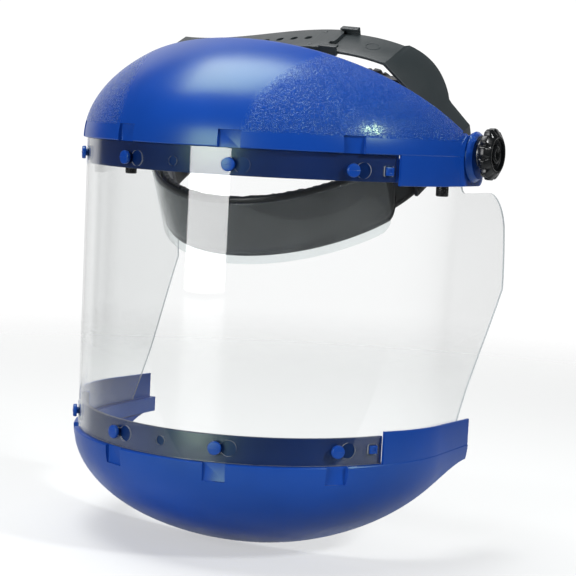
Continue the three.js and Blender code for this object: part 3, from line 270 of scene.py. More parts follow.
def along_y(x, y, z):
    """Local Z runs along +Y, local X stays X."""
    return Matrix.Translation((x, y, z)) @ Matrix.Rotation(-math.pi / 2, 4, "X")


# Outlines drawn in these planes are pushed along X, and along -Y.
PLANE_YZ = Matrix(((0, 0, 1, 0), (1, 0, 0, 0), (0, 1, 0, 0), (0, 0, 0, 1)))
PLANE_XZ = Matrix(((1, 0, 0, 0), (0, 0, -1, 0), (0, 1, 0, 0), (0, 0, 0, 1)))


def prism(name, outline, low, high, place, bevel=0.0):
    """An outline in local X-Y, pushed from low to high along local Z, with rounded edges."""
    loops = [[(x, y, z) for x, y in outline] for z in (low, high)]
    obj = loft(name, loops, place)
    if bevel:
        modifier = obj.modifiers.new("round", "BEVEL")
        modifier.width = bevel * MM
        modifier.segments = 2
        modifier.limit_method = "ANGLE"
        modifier.angle_limit = math.radians(40)
        modifier.harden_normals = False
        bake_modifiers(obj)
    return obj


def block(name, size, centre, place, bevel=0.0):
    x, y, z = (s / 2 for s in size)
    outline = [(-x, -y), (x, -y), (x, y), (-x, y)]
    return prism(name, outline, -z, z, place @ Matrix.Translation(centre), bevel)


def rod(name, diameter, low, high, place, bevel=0.3, steps=32):
    r = diameter / 2
    profile = [(low, r - bevel, 0), (low + bevel * 0.3, r - bevel * 0.3, 0), (low + bevel, r, 0),
               (high - bevel, r, 0), (high - bevel * 0.3, r - bevel * 0.3, 0), (high, r - bevel, 0)]
    return turned(name, profile, place, steps, closed=False)


def bake_modifiers(obj):
    """Turns the object's modifiers into its mesh."""
    graph = bpy.context.evaluated_depsgraph_get()
    graph.update()
    mesh = bpy.data.meshes.new_from_object(obj.evaluated_get(graph))
    old = obj.data
    obj.modifiers.clear()
    obj.data = mesh
    bpy.data.meshes.remove(old)


def combine(obj, others, operation):
    """Adds or cuts the other solids, and removes them."""
    for other in others:
        modifier = obj.modifiers.new(operation, "BOOLEAN")
        modifier.object = other
        modifier.operation = operation
        modifier.solver = "MANIFOLD"
        bake_modifiers(obj)
        mesh = other.data
        bpy.data.objects.remove(other)
        bpy.data.meshes.remove(mesh)
    return obj


def add(obj, *others):
    return combine(obj, others, "UNION")


def cut(obj, *others):
    return combine(obj, others, "DIFFERENCE")


def smooth(obj, degrees=32):
    mesh = obj.data
    mesh.polygons.foreach_set("use_smooth", [True] * len(mesh.polygons))
    mesh.set_sharp_from_angle(angle=math.radians(degrees))


def finish_piece(obj, material, slot, body, *nodes, degrees=32):
    """Shades a piece, gives it its material, ties it to its body and hides the CAD nodes it stands in for."""
    smooth(obj, degrees)
    obj.data.materials.clear()
    for one in material if isinstance(material, (list, tuple)) else [material]:
        obj.data.materials.append(one)
    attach(obj, body)
    if nodes:
        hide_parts(*nodes)
    return obj


def arc(cx, cy, radius, start, end, steps):
    angles = np.radians(np.linspace(start, end, steps + 1))
    return [(cx + radius * math.cos(a), cy + radius * math.sin(a)) for a in angles]


def rounded_rect(half_x, half_y, radius, steps=8):
    corners = ((1, 1, 0), (-1, 1, 90), (-1, -1, 180), (1, -1, 270))
    points = []
    for sx, sy, start in corners:
        points += arc(sx * (half_x - radius), sy * (half_y - radius), radius, start, start + 90, steps)
    return points


# ---------------------------------------------------------------- plan of the window


class Plan:
    """Half an ellipse in front of a centre line, then straight sides. A place on it is named by its
    distance along the curve from the middle of the front."""

    def __init__(self, half_width, depth, centre_y):
        self.half_width, self.depth, self.centre_y = half_width, depth, centre_y
        self.angles = np.linspace(0, math.pi / 2, 721)
        steps = np.hypot(
            half_width * np.diff(np.sin(self.angles)), depth * np.diff(np.cos(self.angles))
        )
        self.lengths = np.concatenate([[0], np.cumsum(steps)])
        self.quarter = self.lengths[-1]

    def at(self, distance, offset=0.0):
        """Point on the curve, pushed out by an offset, and the outward direction there."""
        side = -1 if distance < 0 else 1
        d = abs(distance)
        if d >= self.quarter:
            point = (side * (self.half_width + offset), self.centre_y + d - self.quarter)
            return np.array(point), np.array([side, 0.0])
        angle = np.interp(d, self.lengths, self.angles)
        normal = np.array([math.sin(angle) / self.half_width, -math.cos(angle) / self.depth])
        normal /= np.linalg.norm(normal)
        base = np.array([self.half_width * math.sin(angle), self.centre_y - self.depth * math.cos(angle)])
        return (base + offset * normal) * (side, 1), normal * (side, 1)


upper_plan = Plan(WINDOW_HALF_WIDTH, WINDOW_DEPTH, 0.0)
lower_plan = Plan(WINDOW_HALF_WIDTH - NECK_NARROWING, WINDOW_DEPTH - NECK_FORWARD, -NECK_FORWARD)


def stand_on(plan, distance, height):
    """A place on a plan whose local X looks outwards, local Y runs along the curve and Z is up."""
    point, normal = plan.at(distance)
    turn = Matrix.Rotation(math.atan2(normal[1], normal[0]), 4, "Z")
    return SHIELD @ Matrix.Translation((point[0], point[1], height)) @ turn


def look_out(place):
    """Turns a place so that its local Z looks outwards along its X."""
    return place @ Matrix.Rotation(math.pi / 2, 4, "Y")


def spans(start, end, step):
    return np.linspace(start, end, max(2, round(abs(end - start) / step) + 1))


def plan_strip(name, plan, start, end, section, step=1.6):
    """A band along a plan: section lists (offset, height) pairs of its closed outline, or is a
    function of the distance that gives them."""
    loops = []
    for d in spans(start, end, step):
        pairs = section(d) if callable(section) else section
        loops.append([(*plan.at(d, offset)[0], height) for offset, height in pairs])
    return loft(name, loops, SHIELD)


def rounded_bar(low_offset, high_offset, bottom, top, radius=0.5):
    """The outline of a bar's section with rounded corners."""
    cx, cz = (low_offset + high_offset) / 2, (bottom + top) / 2
    half_x, half_z = (high_offset - low_offset) / 2, (top - bottom) / 2
    radius = min(radius, half_x * 0.95, half_z * 0.95)
    return [(cx + x, cz + z) for x, z in rounded_rect(half_x, half_z, radius, 3)]


# ---------------------------------------------------------------- crown and chin guard


def rear_edge(low_y, low_z, top_y, top_z, bow):
    return lambda z: low_y + (top_y - low_y) * max(0.0, (z - low_z) / (top_z - low_z)) ** bow


def dome_column(plan, d, inset, base, rise, direction, limit, steps):
    """Points up one column of a dome, from a plan's lip to the rear edge."""
    point, _ = plan.at(d, LIP - inset)
    forward = min(0.0, point[1] - plan.centre_y)
    behind = max(0.0, point[1] - plan.centre_y) + plan.centre_y

    def place(angle):
        return (point[0] * math.cos(angle), behind + forward * math.cos(angle),
                base + direction * (rise - inset) * math.sin(angle))

    low, high = 0.0, math.pi / 2
    for _ in range(40):
        middle = (low + high) / 2
        _, y, z = place(middle)
        low, high = (low, middle) if y > limit(z) else (middle, high)
    return np.array([place(angle) for angle in np.linspace(0, low, steps + 1)])


def rim(outer, before, inner, steps=5, fullness=0.45):
    """Points of a rounded edge from the outer face's last point to the inner face's."""
    centre, radius = (outer + inner) / 2, (outer - inner) / 2
    along = outer - before
    along /= np.linalg.norm(along) + 1e-9
    reach = np.linalg.norm(radius) * fullness
    return [
        centre + radius * math.cos(t) + along * reach * math.sin(t)
        for t in np.linspace(0, math.pi, steps + 2)[1:-1]
    ]


def shell_loops(plan, end, base, rise, direction, limit, edge, inner_reach):
    """Closed sections of a domed shell whose thick foot stands over the window's rail."""
    loops = []
    for d in spans(-end, end, 1.7):
        outer = dome_column(plan, d, 0.0, base, rise, direction, limit, 46)
        inner = dome_column(plan, d, SHELL_WALL, base, rise, direction, limit, 34)
        foot = [(RAIL_IN, inner_reach), (RAIL_IN, 0.0), (LIP - edge, 0.0), (LIP - edge * 0.3, edge * 0.25)]
        foot = [(*plan.at(d, offset)[0], base + direction * z) for offset, z in foot]
        clear = direction * (outer[:, 2] - base) >= edge
        clear[-3:] = True
        first = max(1, int(np.argmax(clear)))
        outer_part = np.concatenate([outer[:1] + (0, 0, direction * edge * 0.8), outer[first:]])
        inside = direction * (inner[:, 2] - base)
        inner = inner.copy()
        low = inside < inner_reach + 1.2
        inner[low, 2] = base + direction * np.minimum(inner_reach + 1.2, inside[-1])
        loops.append(np.concatenate([
            np.array(foot), resampled(outer_part, 44), rim(outer[-1], outer[-2], inner[-1]),
            inner[::-1],
        ]))
    return loops


def resampled(points, count):
    """The same polyline with a fixed number of points, even along its length."""
    lengths = np.concatenate([[0], np.cumsum(np.linalg.norm(np.diff(points, axis=0), axis=1))])
    wanted = np.linspace(0, lengths[-1], count)
    return np.stack([np.interp(wanted, lengths, points[:, k]) for k in range(3)], 1)


def stud(plan, distance, height, name):
    """A mushroom stud with a moulded parting line across its head."""
    place = look_out(stand_on(plan, distance, height))
    r, low, top = STUD_HEAD / 2, STUD_LIFT, STUD_LIFT + STUD_THICKNESS
    profile = [(RAIL_OUT - 1, STUD_STEM / 2, 0), (low - 0.25, STUD_STEM / 2, 0),
               (low, STUD_STEM / 2 + 0.25, 0),
               (low, r - 0.35, 0), (low + 0.15, r - 0.08, 0), (low + 0.4, r, 0), (top - 0.7, r, 0),
               (top - 0.3, r - 0.12, 0), (top - 0.08, r - 0.4, 0), (top, r - 0.9, 0), (top + 0.06, 0.9, 0)]
    head = turned(name, profile, place, 40, closed=False)
    ridge = block(name + "_ridge", (0.36, STUD_HEAD - 0.3, 0.5), (0, 0, top), place, 0.1)
    return add(head, ridge)


def peg(plan, distance, height, name):
    """A square locating peg with a dimple."""
    place = look_out(stand_on(plan, distance, height))
    top = 1 + GAP
    body = block(name, (PEG_SIZE, PEG_SIZE, top - RAIL_OUT + 1), (0, 0, (top + RAIL_OUT - 1) / 2), place,
                 0.45)
    dimple = block(name + "_dimple", (2.0, 2.0, 1.0), (0, 0, top), place, 0.2)
    return cut(body, dimple)


def pocket(plan, distance, low, high):
    """The notch in a lip that leaves room for the stud's mould."""
    place = stand_on(plan, distance, (low + high) / 2)
    return block("pocket", (12, POCKET_WIDTH, high - low), (LIP - POCKET_DEPTH + 6, 0, 0), place, 0.35)


def boss(side):
    """A low cone with a crease round its foot that carries the pivot."""
    place = SHIELD @ along_x(side, WING_OUT_X, PIVOT_BEHIND, PIVOT_ABOVE - 2)
    r = BOSS / 2
    profile = [(-1, r - 0.6, 0), (0.0, r - 0.6, 0), (0.25, r, 0), (0.7, r - 0.05, 0),
               (BOSS_HEIGHT - 0.5, r - 1.8, 0),
               (BOSS_HEIGHT - 0.12, r - 2.0, 0), (BOSS_HEIGHT, r - 2.4, 0)]
    return turned("boss", profile, place, 72, closed=False)


def build_crown():
    top = LIP_HEIGHT + CROWN_RISE * math.sqrt(1 - (CROWN_REAR_TOP / (WINDOW_DEPTH + LIP)) ** 2)
    limit = rear_edge(CROWN_REAR_LOW, CROWN_REAR_LOW_HEIGHT, -CROWN_REAR_TOP, top, CROWN_REAR_BOW)
    end = upper_plan.quarter + CROWN_REAR_LOW - 0.4
    crown = loft("crown", shell_loops(upper_plan, end, LIP_HEIGHT, CROWN_RISE, 1, limit, 0.8, 8.2), SHIELD)
    rail = rounded_bar(RAIL_IN, RAIL_OUT, -RAIL_DROP, LIP_HEIGHT + 1.5, 0.4)
    add(crown, plan_strip("rail", upper_plan, -WING_STEP - 1, WING_STEP + 1, rail))
    wing = rounded_bar(GAP, LIP - 0.25, -WING_DROP, LIP_HEIGHT + 2.0, 0.5)
    for side in (-1, 1):
        add(crown, plan_strip("wing", upper_plan, side * WING_STEP, side * (upper_plan.quarter + 3), wing))
        outline = [*arc(TAIL_REAR - 5, 5 - WING_DROP, 5, -90, 0, 8),
                   *arc(TAIL_REAR - 5, TAIL_TOP - 5, 5, 0, 90, 8),
                   (CROWN_REAR_LOW - 4, TAIL_TOP + 1), (-6, TAIL_TOP - 4), (-6, -WING_DROP)]
        low, high = sorted((side * WING_IN_X, side * (WING_OUT_X - 0.25)))
        add(crown, prism("tail", outline, low, high, SHIELD @ PLANE_YZ, 0.45), boss(side))
    tools = [pocket(upper_plan, d, LIP_HEIGHT - 1.5, LIP_HEIGHT + SKIRT) for d in STUDS]
    for side in (-1, 1):
        inside = SHIELD @ along_x(side, WING_IN_X, PIVOT_BEHIND, PIVOT_ABOVE)
        tools.append(rod("pivot_room", 35.0, -12, 0, inside, 0.1, 64))
        tools.append(rod("bolt_hole", BOLT_HOLE, -3, 12, inside, 0.1, 40))
    cut(crown, *tools)
    add(crown, *[stud(upper_plan, d, 0, "stud") for d in STUDS],
        *[peg(upper_plan, d, 0, "peg") for d in PEGS])
    return crown


def build_chin_guard():
    row = -ROW_SPACING
    ledge = row - GUARD_RAIL_BELOW
    reach = lower_plan.depth + LIP
    bottom = ledge - BOWL_DROP * math.sqrt(1 - ((BOWL_REAR_BOTTOM - NECK_FORWARD) / reach) ** 2)
    limit = rear_edge(GUARD_REAR, row - GUARD_WING_BOTTOM, -BOWL_REAR_BOTTOM, bottom, BOWL_REAR_BOW)
    end = lower_plan.quarter + GUARD_REAR + NECK_FORWARD
    guard = loft("chin_guard_shell", shell_loops(lower_plan, end, ledge, BOWL_DROP, -1, limit, 0.8, 9.0),
                 SHIELD)
    rail = rounded_bar(RAIL_IN, RAIL_OUT, ledge - 1.5, row + GUARD_RAIL_ABOVE, 0.5)
    add(guard, plan_strip("guard_rail", lower_plan, -WING_STEP - 1, WING_STEP + 1, rail))

    def wing(d):
        beyond = min(1.0, max(0.0, (abs(d) - WING_STEP) / 90))
        return rounded_bar(GAP, LIP - 0.25, ledge - 2.0, row + 9.6 - 3 * beyond, 0.5)

    for side in (-1, 1):
        add(guard, plan_strip("guard_wing", lower_plan, side * WING_STEP, side * end, wing))
    cut(guard, *[pocket(lower_plan, d, ledge - 10, ledge + 1.5) for d in STUDS])
    add(guard, *[stud(lower_plan, d, row, "stud") for d in STUDS],
        *[peg(lower_plan, d, row, "peg") for d in PEGS])
    return guard


# ---------------------------------------------------------------- window


def window_point(distance, height, offset):
    """A point of the sheet, between the upper plan and the narrower lower one."""
    upper_end, lower_end = -WING_DROP - 0.5, GUARD_RAIL_ABOVE + 1.4 - ROW_SPACING
    share = min(1.0, max(0.0, (upper_end - height) / (upper_end - lower_end)))
    flare = WINDOW_FLARE * max(0.0, math.sin(math.pi * min(1.0, share * 1.15))) ** 0.8
    a, b = upper_plan.at(distance, offset)[0], lower_plan.at(distance, offset)[0]
    x, y = a + share * (b - a)
    return x + math.copysign(flare * max(0.0, y) / WINDOW_REAR, x), y, height


def build_window():
    reach = upper_plan.quarter + WINDOW_REAR + 6
    heights = np.concatenate([spans(EDGE_MARGIN, -WING_DROP, 4), spans(-WING_DROP - 4, 8 - ROW_SPACING, 5),
                              spans(5 - ROW_SPACING, GAP - ROW_SPACING - GUARD_RAIL_BELOW, 4)])
    distances = spans(-reach, reach, 2.0)
    outer = [[window_point(d, z, 0.0) for z in heights] for d in distances]
    inner = [[window_point(d, z, -WINDOW_THICKNESS) for z in reversed(heights)] for d in distances]
    sheet = loft("window", [a + b for a, b in zip(outer, inner)], SHIELD)
    rear_top, notch_y = -WING_DROP - 4, PIVOT_BEHIND - BOSS / 2 + 4.7
    low = -ROW_SPACING
    waste = [(notch_y, 30), *arc(notch_y + 6, rear_top + 6, 6, 180, 270, 8),
             *arc(WINDOW_REAR - 26, rear_top - 24, 24, 90, 0, 14), (WINDOW_REAR, low + 80.4), (22, low + 7),
             (13, low - 8), (13, low - 30), (WINDOW_REAR + 60, low - 30), (WINDOW_REAR + 60, 30)]
    tools = [prism("waste", waste, -200, 200, SHIELD @ PLANE_YZ)]
    slot = STUD_STEM + 2 * GAP
    for plan, height in ((upper_plan, 0.0), (lower_plan, -ROW_SPACING)):
        for d in STUDS:
            place = look_out(stand_on(plan, d, height))
            big = look_out(stand_on(plan, d + KEYHOLE_SHIFT, height))
            tools.append(rod("keyhole", KEYHOLE, -4, 4, big, 0.05, 48))
            tools.append(rod("keyhole_end", slot, -4, 4, place, 0.05, 32))
            tools.append(block("keyhole_slot", (slot, KEYHOLE_SHIFT, 8), (0, KEYHOLE_SHIFT / 2, 0), place))
        tools.append(rod("centre_hole", CENTRE_HOLE, -4, 4, look_out(stand_on(plan, 0, height)), 0.05, 40))
        square = PEG_SIZE + 2 * GAP + 0.6
        for d in PEGS:
            tools.append(block("peg_hole", (square, square, 8), (0, 0, 0),
                               look_out(stand_on(plan, d, height)), 0.9))
    cut(sheet, *tools)
    mark_rim(sheet, distances, heights)
    return sheet


def mark_rim(sheet, distances, heights):
    """The cut edges of the sheet, which pipe light, take the second material."""
    faces, rows = [], len(heights)
    points = [SHIELD @ Vector(window_point(d, z, 0.0)) * MM for d in distances for z in heights]
    for i in range(len(distances) - 1):
        for j in range(rows - 1):
            a = i * rows + j
            faces.append((a, a + 1, a + rows + 1, a + rows))
    outer = BVHTree.FromPolygons(points, faces)
    thick = WINDOW_THICKNESS * MM
    for face in sheet.data.polygons:
        away = outer.find_nearest(face.center)[3]
        face.material_index = 1 if 0.15 * thick < away < 0.85 * thick else 0


# ---------------------------------------------------------------- pivot hardware


def build_knob(side):
    place = HEADGEAR @ along_x(side, KNOB_BACK_X, *HEAD_PIVOT)
    r, t = KNOB / 2, KNOB_THICKNESS
    profile = [(0.0, 5.7, 0), (0.0, 9.6, 0), (0.3, 10.0, 0), (1.7, 10.0, 0), (2.0, 11.0, 0.2),
               (2.25, 13.4, 1.2),
               (2.6, r - 0.2, 1.5), (3.1, r, 1.6), (5.6, r, 1.6), (6.1, r - 0.25, 1.5), (7.0, r - 1.5, 0.8),
               (8.0, r - 3.1, 0.25), (t - 0.15, r - 3.9, 0.05), (t, r - 4.5, 0), (t, 9.5, 0),
               (t - 0.2, 9.1, 0),
               (t - 2.0, 8.8, 0), (t - 2.2, 8.5, 0), (t - 2.2, 5.7, 0)]
    return turned("tension_knob", profile, place, KNOB_LOBES * 20, KNOB_LOBES)


def build_insert(side):
    place = HEADGEAR @ along_x(side, KNOB_BACK_X, *HEAD_PIVOT)
    t = KNOB_THICKNESS
    profile = [(0.4, 5.0, 0), (0.6, 5.3, 0), (t - 1.6, 5.3, 0), (t - 0.9, 5.0, 0), (t - 0.6, 4.4, 0),
               (t - 0.5, 3.7, 0), (t - 0.6, 3.0, 0), (t - 1.2, 2.5, 0), (t - 2.4, 2.3, 0), (t - 2.5, 2.0, 0)]
    cap = turned("knob_cap", profile, place, 48, closed=False)
    slots = [block("cap_slot", (1.0, 7.6, 1.2), (0, 0, t - 0.4), place @ Matrix.Rotation(turn, 4, "Z"), 0.15)
             for turn in (0.0, math.pi / 2)]
    return cut(cap, *slots)


def build_bolt(side):
    place = HEADGEAR @ along_x(side, KNOB_BACK_X - BOLT_BACK, *HEAD_PIVOT)
    head = [(0.0, 3.2, 0), (0.0, 5.6, 0), (0.35, 6.3, 0), (0.8, 6.5, 0), (1.9, 6.5, 0), (2.2, 6.2, 0),
            (2.2, 3.0, 0),
            (BOLT_BACK + KNOB_THICKNESS - 4.0, 3.0, 0), (BOLT_BACK + KNOB_THICKNESS - 3.4, 2.5, 0)]
    return turned("pivot_bolt_piece", head, place, 48, closed=False)


def build_washer(side, name, start, diameter, thickness=1.2):
    place = HEADGEAR @ along_x(side, start, *HEAD_PIVOT)
    r, hole, edge = diameter / 2, BOLT_HOLE / 2, 0.15
    profile = [(0, hole, 0), (0, r - edge, 0), (edge, r, 0), (thickness - edge, r, 0),
               (thickness, r - edge, 0),
               (thickness, hole, 0)]
    return turned(name, profile, place, 56)


def plate_x(name, outline, x0, x1, bevel=0.0):
    low, high = sorted((x0, x1))
    return prism(name, outline, low, high, HEADGEAR @ PLANE_YZ, bevel)


def plate_y(name, outline, y0, y1, bevel=0.0):
    return prism(name, outline, -y1, -y0, HEADGEAR @ PLANE_XZ, bevel)


def build_stop(side):
    inner = KNOB_BACK_X - STOP_BACK
    outer = inner + 1.8
    inward = inner - 6.0
    z = PIVOT_Z
    stop = turned("tilt_stop_piece", [(0, 3.35, 0), (0, 9.8, 0), (0.2, 10, 0), (1.6, 10, 0), (1.8, 9.8, 0),
                  (1.8, 3.35, 0)], HEADGEAR @ along_x(side, inner, *HEAD_PIVOT), 56)
    web = plate_x("stop_web", [(-5, z + 6), (-16, z), (-16, z - 9), (-5, z - 9)], side * inner,
                  side * outer, 0.3)
    step = plate_x("stop_step", [(-12, z - 0.5), (-16, z - 0.5), (-16, z - 9), (-12, z - 9)], side * inward,
                   side * outer, 0.4)
    arm = plate_x("stop_arm", [(-13, z - 0.5), (-25, z - 4.6), (-25, z - 10.6), (-13, z - 9)], side * inward,
                  side * (inward + 3), 0.4)
    upright = Matrix.Translation((side * (inward + 1.2), -24.0, z - 9.6)) @ Matrix.Rotation(-TIP, 4, "X")
    foot = rod("stop_peg", 7.0, -6, 6, HEADGEAR @ upright, 0.7, 40)
    return add(stop, web, step, arm, foot)


def build_rivet(side, end):
    inner = BAND_HALF - BAND_WALL - 2 * GAP - 0.5
    outer = BAND_HALF + 2 * GAP + 2.2
    profile = [(inner - 1.3, 1.2, 0), (inner - 1.15, 2.3, 0), (inner - 0.6, 2.9, 0), (inner, 3.0, 0),
               (inner, 1.6, 0), (outer, 1.6, 0), (outer, 3.0, 0), (outer + 0.6, 2.9, 0),
               (outer + 1.15, 2.3, 0),
               (outer + 1.3, 1.2, 0)]
    place = HEADGEAR @ along_x(side, 0, end * RIVET_REACH, RIVET_HEIGHT)
    return turned("rivet", profile, place, 32, closed=False)


# ---------------------------------------------------------------- head ring


def ring_point(degrees, offset, height):
    angle = math.radians(degrees)
    front = math.cos(angle) > 0
    power = 2.0 if front else BAND_SQUARENESS
    length = BAND_FRONT if front else BAND_REAR
    across = abs(math.sin(angle)) ** (2 / power)
    along = abs(math.cos(angle)) ** (2 / power)
    sx, sy = math.copysign(1, math.sin(angle)), -math.copysign(1, math.cos(angle))
    normal = np.array([sx * across ** (power - 1) / BAND_HALF, sy * along ** (power - 1) / length])
    normal /= np.linalg.norm(normal)
    return (sx * BAND_HALF * across + offset * normal[0], sy * length * along + offset * normal[1], height)


def ring_angle_at(behind):
    share = (behind / BAND_REAR) ** (BAND_SQUARENESS / 2)
    return 90 + math.degrees(math.asin(share))


def ring_strip(name, start, end, section, step=1.2):
    """A band round the head ring: section gives (offset, height) pairs, perhaps by the angle."""
    loops = []
    for angle in spans(start, end, step):
        pairs = section(angle) if callable(section) else section
        loops.append([ring_point(angle, offset, height) for offset, height in pairs])
    return loft(name, loops, HEADGEAR)


def taper_end(angle, wrap, reach):
    """0 at a band's end, 1 beyond the reach, along a quarter circle."""
    share = min(1.0, max(0.0, (wrap - abs(angle)) / reach))
    return math.sqrt(1 - (1 - share) ** 2)


def build_headband():
    half = BAND_HEIGHT / 2
    bar = rounded_bar(-BAND_WALL, 0.0, -half, half, 0.6)
    band = ring_strip("headband", -BAND_WRAP, BAND_WRAP, bar)
    for height in (-half + 2.2, half - 2.2):
        bead = rounded_bar(-BAND_WALL, 0.28, height - 0.7, height + 0.7, 0.25)
        add(band, ring_strip("bead", -BAND_WRAP + 1, BAND_WRAP - 1, bead))
    return band


def build_film():
    def section(angle):
        grow = taper_end(angle, PAD_WRAP - 4, 6.0)
        low = FILM_BOTTOM + 9 * (1 - grow)
        top = FILM_TOP - 6 * (1 - grow)
        return rounded_bar(GAP + COVER_WALL + GAP, GAP + COVER_WALL + GAP + FILM_WALL, low, top, 0.3)
    return ring_strip("brow_film_sheet", -PAD_WRAP + 4, PAD_WRAP - 4, section)


def build_cover():
    """Vinyl facing of the headband: a soft roll along its top, a heat seal under it, a flat hem below."""
    half = PAD_HEIGHT / 2
    wrap = PAD_WRAP

    def section(angle):
        grow = 0.35 + 0.65 * taper_end(angle, wrap, 5.0)
        top = half * grow
        w = COVER_WALL
        face = [(w * 0.35, top), (w * 0.8, top - 0.5), (w, top - 1.7), (w, top - 3.4), (w * 0.55, top - 4.3),
                (w * 0.5, top - 4.6), (w * 0.62, top - 5.4), (w * 0.9, top - 8), (w, top * 0.25),
                (w * 0.97, -top * 0.2),
                (w * 0.85, -top + 6), (w * 0.62, -top + 3.2), (w * 0.5, -top + 2.7), (w * 0.55, -top + 2.3),
                (w * 0.75, -top + 1.2), (w * 0.5, -top + 0.2), (w * 0.2, -top), (0.0, -top + 0.6),
                (0.0, top - 0.7)]
        return [(GAP + offset, height) for offset, height in face]
    return ring_strip("brow_cover", -wrap, wrap, section, 0.9)


# ---------------------------------------------------------------- cushions


CLOTH_FRAMES = 20


def inflate(obj, voxel, cap):
    """Remeshes a closed pad, puffs it with a short cloth simulation and caps how far it moves."""
    remesh = obj.modifiers.new("remesh", "REMESH")
    remesh.mode = "VOXEL"
    remesh.voxel_size = voxel * MM
    bake_modifiers(obj)
    rest = np.empty(len(obj.data.vertices) * 3)
    obj.data.vertices.foreach_get("co", rest)
    cloth = obj.modifiers.new("cloth", "CLOTH")
    cloth.settings.use_pressure = True
    cloth.settings.uniform_pressure_force = 4.0
    cloth.settings.effector_weights.gravity = 0
    cloth.settings.tension_stiffness = 12.0
    cloth.settings.quality = 5
    cloth.point_cache.frame_start = 1
    cloth.point_cache.frame_end = CLOTH_FRAMES
    for number in range(1, CLOTH_FRAMES + 1):
        scene.frame_set(number)
    bake_modifiers(obj)
    scene.frame_set(1)
    moved = np.empty_like(rest)
    obj.data.vertices.foreach_get("co", moved)
    shift = (moved - rest).reshape(-1, 3)
    length = np.linalg.norm(shift, axis=1, keepdims=True)
    shift *= np.minimum(1.0, cap * MM / np.maximum(length, 1e-9))
    obj.data.vertices.foreach_set("co", (rest.reshape(-1, 3) + shift).ravel())
    obj.data.update()


def subdivide(obj):
    modifier = obj.modifiers.new("subdivide", "SUBSURF")
    modifier.levels = modifier.render_levels = 1
    bake_modifiers(obj)


def emboss_lines(obj, lines, width, depth):
    """Presses sewn channels into a pad: each line is a function that gives the distance from it."""
    back = HEADGEAR.inverted()
    for vertex in obj.data.vertices:
        local = back @ (vertex.co / MM)
        near = min(line(local) for line in lines)
        press = depth * math.exp(-((near / width) ** 2))
        vertex.co -= vertex.normal * press * MM


def build_brow_pad():
    half = PAD_HEIGHT / 2
    outer = -BAND_WALL - GAP - 0.5
    inner = outer - PAD_WALL + 1.6

    def section(angle):
        grow = 0.45 + 0.55 * taper_end(angle, PAD_WRAP - 1.5, 6.0)
        return rounded_bar(inner, outer, -(half - 1.2) * grow, (half - 1.2) * grow, 1.4)
    pad = ring_strip("brow_cushion", -PAD_WRAP + 1.5, PAD_WRAP - 1.5, section, 1.2)
    inflate(pad, 1.7, 0.9)
    subdivide(pad)

    def from_edge(p):
        return abs(abs(p.z) - (half - 4.2))

    def from_rib(p):
        angle = math.degrees(math.atan2(p.x / BAND_HALF, -p.y / BAND_FRONT))
        return abs(((angle + 6) % 12) - 6) * BAND_FRONT * math.pi / 180
    emboss_lines(pad, [from_edge, from_rib], 0.9, 0.45)
    return pad


def build_nape_pad():
    back = RACK_Y - RACK_CLEARANCE - 2 * GAP - HOUSING_WALL - 0.3
    front = back - NAPE_PAD_WALL + 1.8
    pad = plate_y("nape_cushion", rounded_rect(29.6, 13.6, 8, 8), front, back, 1.5)
    inflate(pad, 1.9, 1.5)
    subdivide(pad)

    def from_seam(p):
        return abs(max(abs(p.x) - 25.0, abs(p.z) - 9.4))

    def from_channel(p):
        return abs(abs(p.x) - 9.0) if abs(p.z) < 9.0 else 9.0
    emboss_lines(pad, [from_seam, from_channel], 0.9, 0.6)
    return pad


# ---------------------------------------------------------------- overhead strap


def strap_height(x, lift):
    share = x / STRAP_FOLD_X
    return PIVOT_Z + STRAP_FOLD_Z + (STRAP_RISE + STRAP_SKEW * share) * (1 - share**2) + lift


def strap_slope(x):
    share = x / STRAP_FOLD_X
    rise = STRAP_RISE + STRAP_SKEW * share
    return (STRAP_SKEW * (1 - share**2) - 2 * share * rise) / STRAP_FOLD_X


FOOT_X = KNOB_BACK_X - STRAP_BACK


def strap_path(side, lift, end_x):
    """Inner face of the strap in the X-Z plane: over the head, down the leg, onto the pivot."""
    points = [(x, strap_height(side * x, lift)) for x in spans(end_x, STRAP_FOLD_X, 2.5)]
    fold, foot = np.array(points[-1]), np.array((FOOT_X, PIVOT_Z + STRAP_FOOT_TOP))
    points += [tuple(fold + (foot - fold) * s) for s in (0.02, 0.06, *np.linspace(0.12, 0.94, 20))]
    points += [tuple(foot)] + [(FOOT_X, PIVOT_Z + z) for z in np.linspace(8, -STRAP_FOOT_WIDTH / 2, 12)]
    return points


